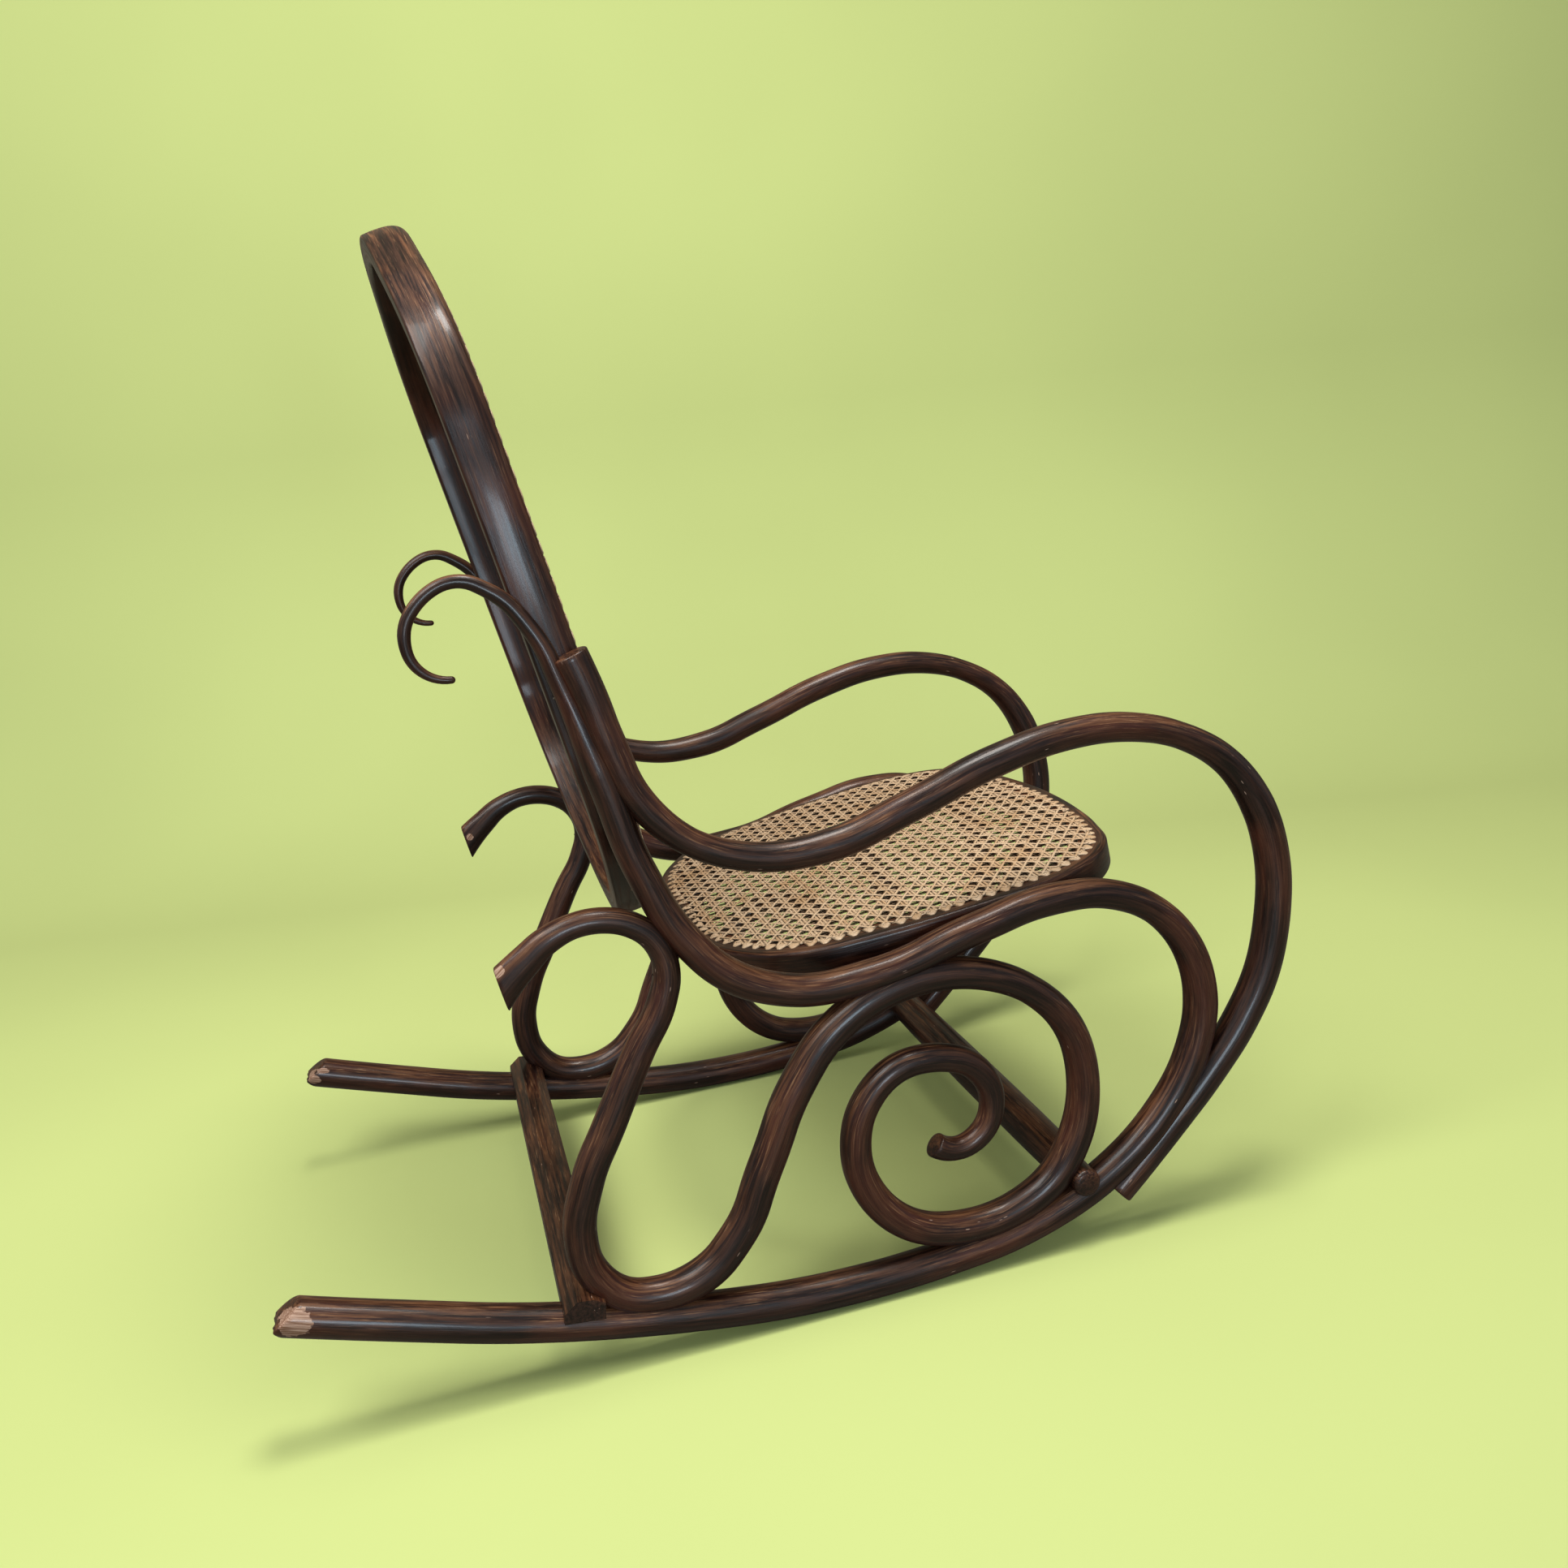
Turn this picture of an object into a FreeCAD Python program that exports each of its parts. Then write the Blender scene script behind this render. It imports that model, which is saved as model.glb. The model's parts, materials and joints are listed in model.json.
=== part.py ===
"""Bentwood rocking chair: two bent side frames, a caned oval back and a caned seat.

All lengths are millimetres. The chair is drawn in a working frame: X to the front,
Y to the chair's left, Z up, with the middle plane of the chair at Y = 0. At the end it
is rocked to the angle at which the empty chair comes to rest, and moved so that its
bounding box stands on Z = 0 with its centre over the origin.
"""
import FreeCAD
import Part
import math
import os

from FreeCAD import Vector

# Side frames: each lies in one plane, this far from the middle of the chair
side_plane = 255.0
fit_gap = 0.3

# Rod radii
rocker_radius = 17.0
rail_radius = 15.0
upright_radius = 13.2
upright_top_radius = 8.8
scroll_foot_radius = 7.4
scroll_top_radius = 5.0
scroll_tip_radius = 3.0
arm_radius = 15.6
support_radius = 14.0
support_tip_radius = 10.5
support_tail_radius = 12.5
small_loop_radius = 10.5

# Centre line of the runner: rocker, front loop, seat rail, upright and top scroll
rocker_stations = [
    (-460, 80),
    (-364, 58),
    (-256, 36),
    (-126, 21),
    (15, 18),
    (128, 31),
    (227, 55),
    (298, 91),
    (355, 143),
]
loop_stations = [
    (391, 207),
    (399, 264),
    (382, 319),
    (341, 362),
]
rail_stations = [
    (289, 381),
    (230, 379),
    (160, 358),
    (68, 325),
    (-9, 317),
    (-67, 336),
    (-112.5, 380),
    (-144, 436),
    (-176, 521),
    (-202, 587),
]
scroll_stations = [
    (-225, 636),
    (-254, 667),
    (-284, 677),
    (-313, 663),
    (-327, 636),
    (-317, 609),
    (-290, 601),
]
rocker_tail_bevel = 45.0

# Centre line of the arm: from beside the upright, over the elbow, to beside the rocker
arm_stations = [
    (-197, 617),
    (-184, 587),
    (-168.5, 545),
    (-147, 500),
    (-100, 456),
    (-40, 437),
    (25, 445),
    (95, 476),
    (169, 510),
    (236, 531),
    (297, 536),
    (357, 525),
    (409, 498),
    (447, 454),
    (468, 397),
    (472, 341),
    (463, 290),
    (437, 240),
    (407, 194),
    (368, 144),
    (323, 89),
]

# Centre line of the scroll support: tail, small loop, foot, big loop, then the spiral end
support_stations = [
    (-262, 343),
    (-244, 363),
    (-222, 383),
    (-202, 392.5),
    (-178, 395.5),
    (-156, 391),
    (-138.5, 380),
    (-126, 360),
    (-123.5, 340),
    (-128, 319),
    (-150, 273),
    (-174, 216),
    (-196, 162),
    (-204, 116),
    (-194, 75),
    (-167, 49),
    (-131, 44),
    (-93, 59),
    (-64, 93),
    (-39, 156),
    (-11, 227),
    (21, 273),
    (66, 304),
    (115, 318),
    (166, 314),
    (214, 294),
    (253, 257),
    (274, 201),
    (273, 148),
    (250, 102),
    (208, 73),
    (157, 63),
    (106, 73),
    (67, 107),
    (49, 154),
    (57, 201),
]
spiral_stations = [
    (85, 231),
    (126, 238),
    (162, 226),
    (182, 194),
    (174, 161),
    (148, 148),
    (124, 154),
]
joint_split_height = 200.0
frame_zone_rear = -500.0
frame_zone_front = 600.0
frame_zone_foot = -100.0
frame_zone_top = 1000.0

# How the rods taper: number of the station and the rod's radius there
runner_breaks = [
    (0, rocker_radius),
    (8, rocker_radius),
    (13, rail_radius),
    (18, rail_radius),
    (21, upright_radius),
    (22, upright_top_radius),
    (23, scroll_foot_radius),
    (25, scroll_top_radius),
    (29, scroll_tip_radius),
]
support_breaks = [
    (0, support_tail_radius),
    (3, small_loop_radius),
    (8, small_loop_radius),
    (11, support_radius),
    (35, support_radius),
    (42, support_tip_radius),
]

# Back hoop: distance along its face from the top, and how far its side is drawn in there
hoop_top = (-341.0, 965.0)
hoop_recline = 18.2
hoop_depth = 37.5
hoop_thickness = 25.0
hoop_outer_round = 9.0
hoop_inner_round = 3.0
hoop_length = 671.0
hoop_screw_radius = 8.1
hoop_let_in = 0.4
hoop_upper_side = [
    (10, 172),
    (36, 118),
    (70, 63),
    (108, 25),
    (150, 6),
    (210, 0),
]
hoop_lower_side = [
    (370, 0),
    (426, 2.6),
    (480, 5.5),
    (545, 28),
    (592, 70),
    (632, 123),
    (661, 183),
]

# Seat frame: distance along its top face from the reference point, and how far it is drawn in
seat_reference = (120.0, 363.0)
seat_tilt = 13.9
seat_depth = 30.0
seat_thickness = 28.0
seat_round = 5.0
seat_rear = -192.0
seat_front = 246.0
seat_side = [
    (-188, 140),
    (-177, 102),
    (-160, 72),
    (-138, 47),
    (-100, 24),
    (-50, 12),
    (10, 3),
    (60, 0),
    (110, 0),
    (152, 8),
    (187, 25),
    (214, 54),
    (232, 108),
    (242, 170),
]

# Cane sheets: a flat net that lies on the face of its frame
cane_thickness = 2.0
cane_margin = 8.0
seat_cane_pitch = 25.0
back_cane_pitch = 29.0
cane_hole_radius = 8.5
cane_edge_land = 6.0

# Stretchers
front_stretcher_radius = 14.0
front_stretcher_centre = (277.0, 99.0)
front_stretcher_end_round = 4.0
rear_stretcher_middle = -204.0
rear_stretcher_width = 36.0
rear_stretcher_thickness = 20.0
rear_stretcher_underside = 40.0
rear_stretcher_chamfer = 11.0
rear_stretcher_front_share = 0.4
stretcher_overhang = 3.0

# Wood screws with a slotted, countersunk head
screw_head_radius = 4.2
screw_shank_radius = 2.1
screw_head_depth = 3.0
screw_slot_width = 1.1
screw_slot_depth = 1.2
screw_tip = 4.0
screw_sink = 0.8
screw_clearance = 0.1
long_screw = 42.0
hoop_screw_length = 33.0
seat_screw_length = 38.0

# Where the screws sit, read off the centre line of the rod they hold
hoop_screw_heights = [611.0, 512.0]
seat_screw_places = [137.0, 243.0]
arm_top_screw_heights = [594.0, 544.0]
arm_foot_screw_heights = [186.0, 122.0]
foot_screw_place = -138.0
spiral_screw_place = 163.0
rail_screw_place = 88.0
loop_screw_height = 350.0
rear_stretcher_screw_place = -204.0

# Weights used only to find the angle of rest, in kilograms per cubic millimetre
wood_density = 0.70e-6
cane_density = 0.35e-6
steel_density = 7.8e-6

right = -1
left = 1
y_axis = Vector(0, 1, 0)


# Tangent arcs through stations
def unit(x, z):
    """Return the pair scaled to length one."""
    length = math.hypot(x, z)
    return (x / length, z / length)


def circle_tangent(before, here, after):
    """Return the direction, at here, of the circle through three stations."""
    step_in = (here[0] - before[0], here[1] - before[1])
    step_out = (after[0] - here[0], after[1] - here[1])
    weight_in = 1.0 / (step_in[0] ** 2 + step_in[1] ** 2)
    weight_out = 1.0 / (step_out[0] ** 2 + step_out[1] ** 2)
    x = step_in[0] * weight_in + step_out[0] * weight_out
    z = step_in[1] * weight_in + step_out[1] * weight_out
    return unit(x, z)


def mirrored_tangent(tangent, start, end):
    """Return the tangent at the other end of the arc that leaves along this one."""
    chord = unit(end[0] - start[0], end[1] - start[1])
    along = 2.0 * (tangent[0] * chord[0] + tangent[1] * chord[1])
    return (along * chord[0] - tangent[0], along * chord[1] - tangent[1])


def station_tangents(stations, closed):
    """Return one direction for each station, from its neighbours."""
    count = len(stations)
    tangents = []
    for index in range(count):
        if closed or 0 < index < count - 1:
            before = stations[index - 1]
            after = stations[(index + 1) % count]
            tangents.append(circle_tangent(before, stations[index], after))
        else:
            tangents.append(None)
    if not closed:
        tangents[0] = mirrored_tangent(tangents[1], stations[0], stations[1])
        tangents[-1] = mirrored_tangent(tangents[-2], stations[-2], stations[-1])
    return tangents


def arc_edge(start, tangent, end):
    """Return the arc that leaves start along tangent and reaches end, as an edge in XZ."""
    chord = (end[0] - start[0], end[1] - start[1])
    length = math.hypot(chord[0], chord[1])
    cross = tangent[0] * chord[1] - tangent[1] * chord[0]
    dot = tangent[0] * chord[0] + tangent[1] * chord[1]
    half_turn = math.atan2(cross, dot)
    first = Vector(start[0], 0, start[1])
    last = Vector(end[0], 0, end[1])
    if abs(half_turn) < 1e-4:
        return Part.LineSegment(first, last).toShape()
    rise = 0.5 * length * math.tan(0.5 * half_turn)
    middle_x = 0.5 * (start[0] + end[0]) + rise * chord[1] / length
    middle_z = 0.5 * (start[1] + end[1]) - rise * chord[0] / length
    return Part.Arc(first, Vector(middle_x, 0, middle_z), last).toShape()


def biarc(start, start_tangent, end, end_tangent):
    """Return the two arcs that join two stations and meet tangent to each other."""
    chord = (end[0] - start[0], end[1] - start[1])
    both = (start_tangent[0] + end_tangent[0], start_tangent[1] + end_tangent[1])
    along = chord[0] * both[0] + chord[1] * both[1]
    square = chord[0] ** 2 + chord[1] ** 2
    spread = 2.0 * (1.0 - start_tangent[0] * end_tangent[0] - start_tangent[1] * end_tangent[1])
    if spread < 1e-9:
        reach = square / (2.0 * along)
    else:
        reach = (math.sqrt(along ** 2 + spread * square) - along) / spread
    joint_x = 0.5 * (start[0] + end[0] + reach * (start_tangent[0] - end_tangent[0]))
    joint_z = 0.5 * (start[1] + end[1] + reach * (start_tangent[1] - end_tangent[1]))
    joint = (joint_x, joint_z)
    joint_tangent = mirrored_tangent(start_tangent, start, joint)
    return [arc_edge(start, start_tangent, joint), arc_edge(joint, joint_tangent, end)]


def arc_chain(stations, closed=False):
    """Return the tangent arcs through all stations, two for each step."""
    tangents = station_tangents(stations, closed)
    count = len(stations)
    steps = count if closed else count - 1
    edges = []
    for index in range(steps):
        following = (index + 1) % count
        pair = biarc(stations[index], tangents[index], stations[following], tangents[following])
        edges.extend(pair)
    return edges


# Rods
def centre_points(edges, per_edge=12):
    """Return closely spaced points along a chain of arcs."""
    points = []
    for edge in edges:
        points.extend(edge.discretize(per_edge)[:-1])
    points.append(edges[-1].discretize(per_edge)[-1])
    return points


def section(edge, at_end, radius):
    """Return the round section of a rod at one end of an edge."""
    parameter = edge.LastParameter if at_end else edge.FirstParameter
    circle = Part.Circle(edge.valueAt(parameter), edge.tangentAt(parameter), radius)
    return Part.Wire([circle.toShape()])


def rod(edges, radius, end_radius):
    """Return a rod along tangent arcs, of one radius or tapering evenly to another."""
    shell = Part.BRepOffsetAPI.MakePipeShell(Part.Wire(edges))
    shell.add(section(edges[0], False, radius))
    if end_radius != radius:
        shell.add(section(edges[-1], True, end_radius))
    shell.build()
    shell.makeSolid()
    return shell.shape()


def member(edges, breaks, extra):
    """Return one solid rod that tapers between breaks, grown by extra for use as a cutter."""
    pieces = []
    for (station, radius), (next_station, next_radius) in zip(breaks, breaks[1:]):
        span = edges[2 * station:2 * next_station]
        pieces.append(rod(span, radius + extra, next_radius + extra))
    return pieces[0].fuse(pieces[1:]).removeSplitter().Solids[0]


def at_side(shape, side):
    """Return a shape that was drawn at Y = 0 moved to the side frame's plane."""
    return shape.translated(Vector(0, side * side_plane, 0))


def box_between(low_x, high_x, low_z, high_z):
    """Return a block round one side frame between two heights."""
    half = 4.0 * rocker_radius
    corner = Vector(low_x, -half, low_z)
    return Part.makeBox(high_x - low_x, 2.0 * half, high_z - low_z, corner)


def point_at_height(points, height, low_x=-1e9, high_x=1e9):
    """Return the centre-line point nearest a height, within a stretch of the rod."""
    stretch = [point for point in points if low_x <= point.x <= high_x]
    return min(stretch, key=lambda point: abs(point.z - height))


def point_at_place(points, place, low_z=-1e9, high_z=1e9):
    """Return the centre-line point nearest a place along X, within a stretch of the rod."""
    stretch = [point for point in points if low_z <= point.z <= high_z]
    return min(stretch, key=lambda point: abs(point.x - place))


def nearest_point(points, target):
    """Return the centre-line point nearest to a point of another rod."""
    return min(points, key=lambda point: point.distanceToPoint(target))


# Screws
def screw_body(length, extra):
    """Return a screw blank from its head face at the origin down to -Z, grown by extra."""
    head = screw_head_radius + extra
    shank = screw_shank_radius + extra
    outline = [
        Vector(0, 0, 0),
        Vector(head, 0, 0),
        Vector(shank, 0, -screw_head_depth),
        Vector(shank, 0, -(length - screw_tip)),
        Vector(0, 0, -(length + extra)),
        Vector(0, 0, 0),
    ]
    face = Part.Face(Part.makePolygon(outline))
    return face.revolve(Vector(0, 0, 0), Vector(0, 0, 1), 360)


def screw(length):
    """Return a slotted countersunk wood screw with its head face at the origin."""
    blank = screw_body(length, 0.0)
    corner = Vector(-2.0 * screw_head_radius, -0.5 * screw_slot_width, -screw_slot_depth)
    slot = Part.makeBox(4.0 * screw_head_radius, screw_slot_width, 2.0 * screw_slot_depth, corner)
    return blank.cut(slot)


def screw_hole(length):
    """Return the hole for a screw, with room above its head for the sunk face."""
    head = screw_head_radius + screw_clearance
    mouth = Part.makeCylinder(head, rocker_radius)
    return screw_body(length, screw_clearance).fuse(mouth)


def driven(shape, head_point, direction):
    """Return a screw or its hole turned so that its tip points along a direction."""
    turn = FreeCAD.Rotation(Vector(0, 0, -1), direction)
    moved = shape.copy()
    moved.Placement = FreeCAD.Placement(head_point, turn)
    return moved


class ScrewJoint:
    """One screw: where its head face lies, which way it points and how long it is."""

    def __init__(self, head_point, direction, length):
        self.head_point = head_point
        self.direction = Vector(direction).normalize()
        self.length = length

    def solid(self):
        """Return the screw in its place."""
        return driven(screw(self.length), self.head_point, self.direction)

    def hole(self):
        """Return the hole that the screw needs in the wood."""
        return driven(screw_hole(self.length), self.head_point, self.direction)


def joint_from_rod(rod_point, target_point, rod_radius, length):
    """Return a screw sunk in the far side of one rod and pointing at another rod."""
    direction = Vector(target_point - rod_point).normalize()
    head_point = rod_point - direction * (rod_radius - screw_sink)
    return ScrewJoint(head_point, direction, length)


# Flat frames: outlines drawn in their own plane, first axis along the frame, second along Y
def frame_placement(origin, along, face):
    """Return the placement of a plane whose axes are along, Y and face."""
    matrix = FreeCAD.Matrix(
        along.x, 0, face.x, origin.x,
        along.y, 1, face.y, origin.y,
        along.z, 0, face.z, origin.z,
        0, 0, 0, 1,
    )
    return FreeCAD.Placement(matrix)


def closed_outline(middle_start, side, middle_end, half_width):
    """Return the mirrored closed outline of a frame as a wire in its own plane."""
    upper = [(along, half_width - drawn_in) for along, drawn_in in side]
    lower = [(along, -width) for along, width in reversed(upper)]
    stations = [(middle_start, 0.0)] + upper + [(middle_end, 0.0)] + lower
    flat = Part.Wire(arc_chain(stations, closed=True))
    return flat.rotated(Vector(0, 0, 0), Vector(1, 0, 0), -90)


def ring(outline, thickness, depth, outer_round, inner_round):
    """Return a bent frame: the band inside an outline, with its long edges rounded."""
    inner = outline.makeOffset2D(-thickness)
    band = Part.makeFace([outline, inner], "Part::FaceMakerBullseye")
    block = band.extrude(Vector(0, 0, depth))
    outer_edges = []
    inner_edges = []
    for edge in block.Edges:
        box = edge.BoundBox
        if box.ZLength > 1e-3:
            continue
        middle = edge.valueAt(0.5 * (edge.FirstParameter + edge.LastParameter))
        flat_point = Vector(middle.x, middle.y, 0)
        distance = inner.distToShape(Part.Vertex(flat_point))[0]
        if distance < 0.5 * thickness:
            inner_edges.append(edge)
        else:
            outer_edges.append(edge)
    rounded = block.makeFillet(outer_round, outer_edges)
    if inner_round > 0.0:
        wanted = [edge for edge in rounded.Edges if is_inner_edge(edge, inner, depth)]
        rounded = rounded.makeFillet(inner_round, wanted)
    return rounded


def is_inner_edge(edge, inner, depth):
    """Tell whether an edge runs along the inner rim of a band, on either face."""
    middle = edge.valueAt(0.5 * (edge.FirstParameter + edge.LastParameter))
    on_face = min(abs(middle.z), abs(middle.z - depth)) < 1e-3
    flat_point = Vector(middle.x, middle.y, 0)
    near = inner.distToShape(Part.Vertex(flat_point))[0] < 1e-2
    return on_face and near and edge.BoundBox.ZLength < 1e-3


def cane_sheet(outline, thickness, pitch):
    """Return the woven sheet as a flat net: an outline inside the frame, with its gaps."""
    rim = outline.makeOffset2D(-cane_margin)
    field = Part.Face(outline.makeOffset2D(-(thickness + cane_edge_land + cane_hole_radius)))
    box = field.BoundBox
    columns = int(box.XLength / pitch)
    rows = int(box.YLength / pitch)
    wires = [rim]
    for column in range(columns + 1):
        x = box.Center.x + (column - 0.5 * columns) * pitch
        for row in range(rows + 1):
            y = box.Center.y + (row - 0.5 * rows) * pitch
            if field.isInside(Vector(x, y, 0), 1e-3, True):
                gap = Part.Circle(Vector(x, y, 0), Vector(0, 0, 1), cane_hole_radius)
                wires.append(Part.Wire([gap.toShape()]))
    net = Part.makeFace(wires, "Part::FaceMakerBullseye")
    print("cane gaps", len(wires) - 1)
    return net.extrude(Vector(0, 0, cane_thickness))


# Runner, arm and scroll support of one side frame
runner_stations = rocker_stations + loop_stations + rail_stations + scroll_stations
runner_edges = arc_chain(runner_stations)
rocker_end = 2 * (len(rocker_stations) - 1)
rail_start = rocker_end + 2 * len(loop_stations)
scroll_start = 2 * (len(runner_stations) - len(scroll_stations) - 1)
runner_points = centre_points(runner_edges)
rocker_points = centre_points(runner_edges[:rocker_end])
rail_points = centre_points(runner_edges[rail_start:scroll_start])
upright_points = centre_points(runner_edges[rail_start:scroll_start + 4])

arm_edges = arc_chain(arm_stations)
arm_points = centre_points(arm_edges)

full_support_stations = support_stations + spiral_stations
support_edges = arc_chain(full_support_stations)
support_points = centre_points(support_edges)


def runner_body(extra):
    """Return the whole runner at Y = 0, grown by extra for use as a cutter."""
    return member(runner_edges, runner_breaks, extra)


def support_body(extra):
    """Return the whole scroll support at Y = 0, grown by extra for use as a cutter."""
    return member(support_edges, support_breaks, extra)


def tail_bevel():
    """Return the wedge that the slanting saw cut takes off the rocker's tail."""
    tail = runner_points[0]
    block = Part.makeBox(4 * rocker_radius, 4 * rocker_radius, 4 * rocker_radius)
    block.translate(Vector(-4 * rocker_radius, -2 * rocker_radius, -2 * rocker_radius))
    block.rotate(Vector(0, 0, 0), Vector(0, 1, 0), rocker_tail_bevel)
    block.translate(tail + Vector(rocker_radius, 0, 0))
    return block


# Screws of one side frame, drawn at Y = 0
def side_screws():
    """Return the screws of one side frame by name."""
    groups = {}
    groups["arm_top_screws"] = []
    for height in arm_top_screw_heights:
        start = point_at_height(arm_points, height, high_x=0.0)
        target = nearest_point(rail_points, start)
        groups["arm_top_screws"].append(joint_from_rod(start, target, arm_radius, long_screw))
    groups["arm_foot_screws"] = []
    for height in arm_foot_screw_heights:
        start = point_at_height(arm_points, height, low_x=0.0)
        target = nearest_point(runner_points, start)
        groups["arm_foot_screws"].append(joint_from_rod(start, target, arm_radius, long_screw))
    low = joint_split_height
    groups["support_foot_screws"] = []
    for place in (foot_screw_place, spiral_screw_place):
        target = point_at_place(support_points, place, high_z=0.5 * low)
        start = nearest_point(rocker_points, target)
        groups["support_foot_screws"].append(joint_from_rod(start, target, rocker_radius, long_screw))
    start = point_at_place(support_points, rail_screw_place, low_z=1.4 * low)
    target = nearest_point(rail_points, start)
    groups["support_rail_screws"] = [joint_from_rod(start, target, support_radius, long_screw)]
    start = point_at_height(support_points, loop_screw_height, low_x=support_stations[5][0], high_x=-80)
    target = nearest_point(rail_points, start)
    groups["small_loop_screws"] = [joint_from_rod(start, target, support_radius, long_screw)]
    target = Vector(front_stretcher_centre[0], 0, front_stretcher_centre[1])
    start = nearest_point(rocker_points, target)
    groups["front_stretcher_screws"] = [joint_from_rod(start, target, rocker_radius, long_screw)]
    start = point_at_place(rocker_points, rear_stretcher_screw_place)
    groups["rear_stretcher_screws"] = [
        joint_from_rod(start, start + Vector(0, 0, 1), rocker_radius, long_screw)
    ]
    return groups


# Screws that point across the chair, for the right side
def hoop_width_at(height):
    """Return half the width of the hoop at a height, from the straight part of its side."""
    along = (hoop_top[1] - height) / math.cos(math.radians(hoop_recline))
    start, end = hoop_lower_side[0], hoop_lower_side[2]
    share = max(0.0, (along - start[0]) / (end[0] - start[0]))
    return side_plane - hoop_screw_radius + hoop_let_in - share * end[1]


def cross_screws():
    """Return the screws that hold the hoop and the seat frame to the right side frame."""
    inner_face = side_plane - rail_radius - fit_gap
    groups = {"hoop_screws": [], "seat_screws": []}
    for height in hoop_screw_heights:
        place = point_at_height(upright_points, height)
        depth = hoop_thickness - screw_sink
        head = Vector(place.x, -(hoop_width_at(height) - depth), place.z)
        groups["hoop_screws"].append(ScrewJoint(head, Vector(0, -1, 0), hoop_screw_length))
    for along in seat_screw_places:
        place = point_at_place(rail_points, along)
        head = Vector(place.x, -(inner_face - seat_thickness + screw_sink), place.z)
        groups["seat_screws"].append(ScrewJoint(head, Vector(0, -1, 0), seat_screw_length))
    return groups


def mirrored(shape):
    """Return a shape mirrored to the other side of the chair."""
    return shape.mirror(Vector(0, 0, 0), y_axis)


def cut_all(shape, cutters):
    """Return a single solid with every cutter taken away."""
    result = shape
    for cutter in cutters:
        result = max(result.cut(cutter).Solids, key=lambda solid: solid.Volume)
    return result


def stretcher_length():
    """Return the length of a stretcher, past the outer side of both rockers."""
    return 2.0 * (side_plane + rocker_radius + stretcher_overhang)


def front_stretcher_rod():
    """Return the round front stretcher, before it is let in to the side frames."""
    half = 0.5 * stretcher_length()
    start = Vector(front_stretcher_centre[0], -half, front_stretcher_centre[1])
    bar = Part.makeCylinder(front_stretcher_radius, 2.0 * half, start, y_axis)
    rims = [edge for edge in bar.Edges if isinstance(edge.Curve, Part.Circle)]
    return bar.makeFillet(front_stretcher_end_round, rims)


def rear_stretcher_bar():
    """Return the flat rear stretcher with one planed slope, before it is let in."""
    half = 0.5 * stretcher_length()
    rear = rear_stretcher_middle - 0.5 * rear_stretcher_width
    front = rear + rear_stretcher_width
    low = rear_stretcher_underside
    high = low + rear_stretcher_thickness
    outline = [
        Vector(rear, -half, low),
        Vector(front, -half, low),
        Vector(front, -half, high - rear_stretcher_front_share * rear_stretcher_chamfer),
        Vector(front - rear_stretcher_chamfer, -half, high),
        Vector(rear + rear_stretcher_chamfer, -half, high),
        Vector(rear, -half, high - rear_stretcher_chamfer),
        Vector(rear, -half, low),
    ]
    return Part.Face(Part.makePolygon(outline)).extrude(Vector(0, 2.0 * half, 0))


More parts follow.
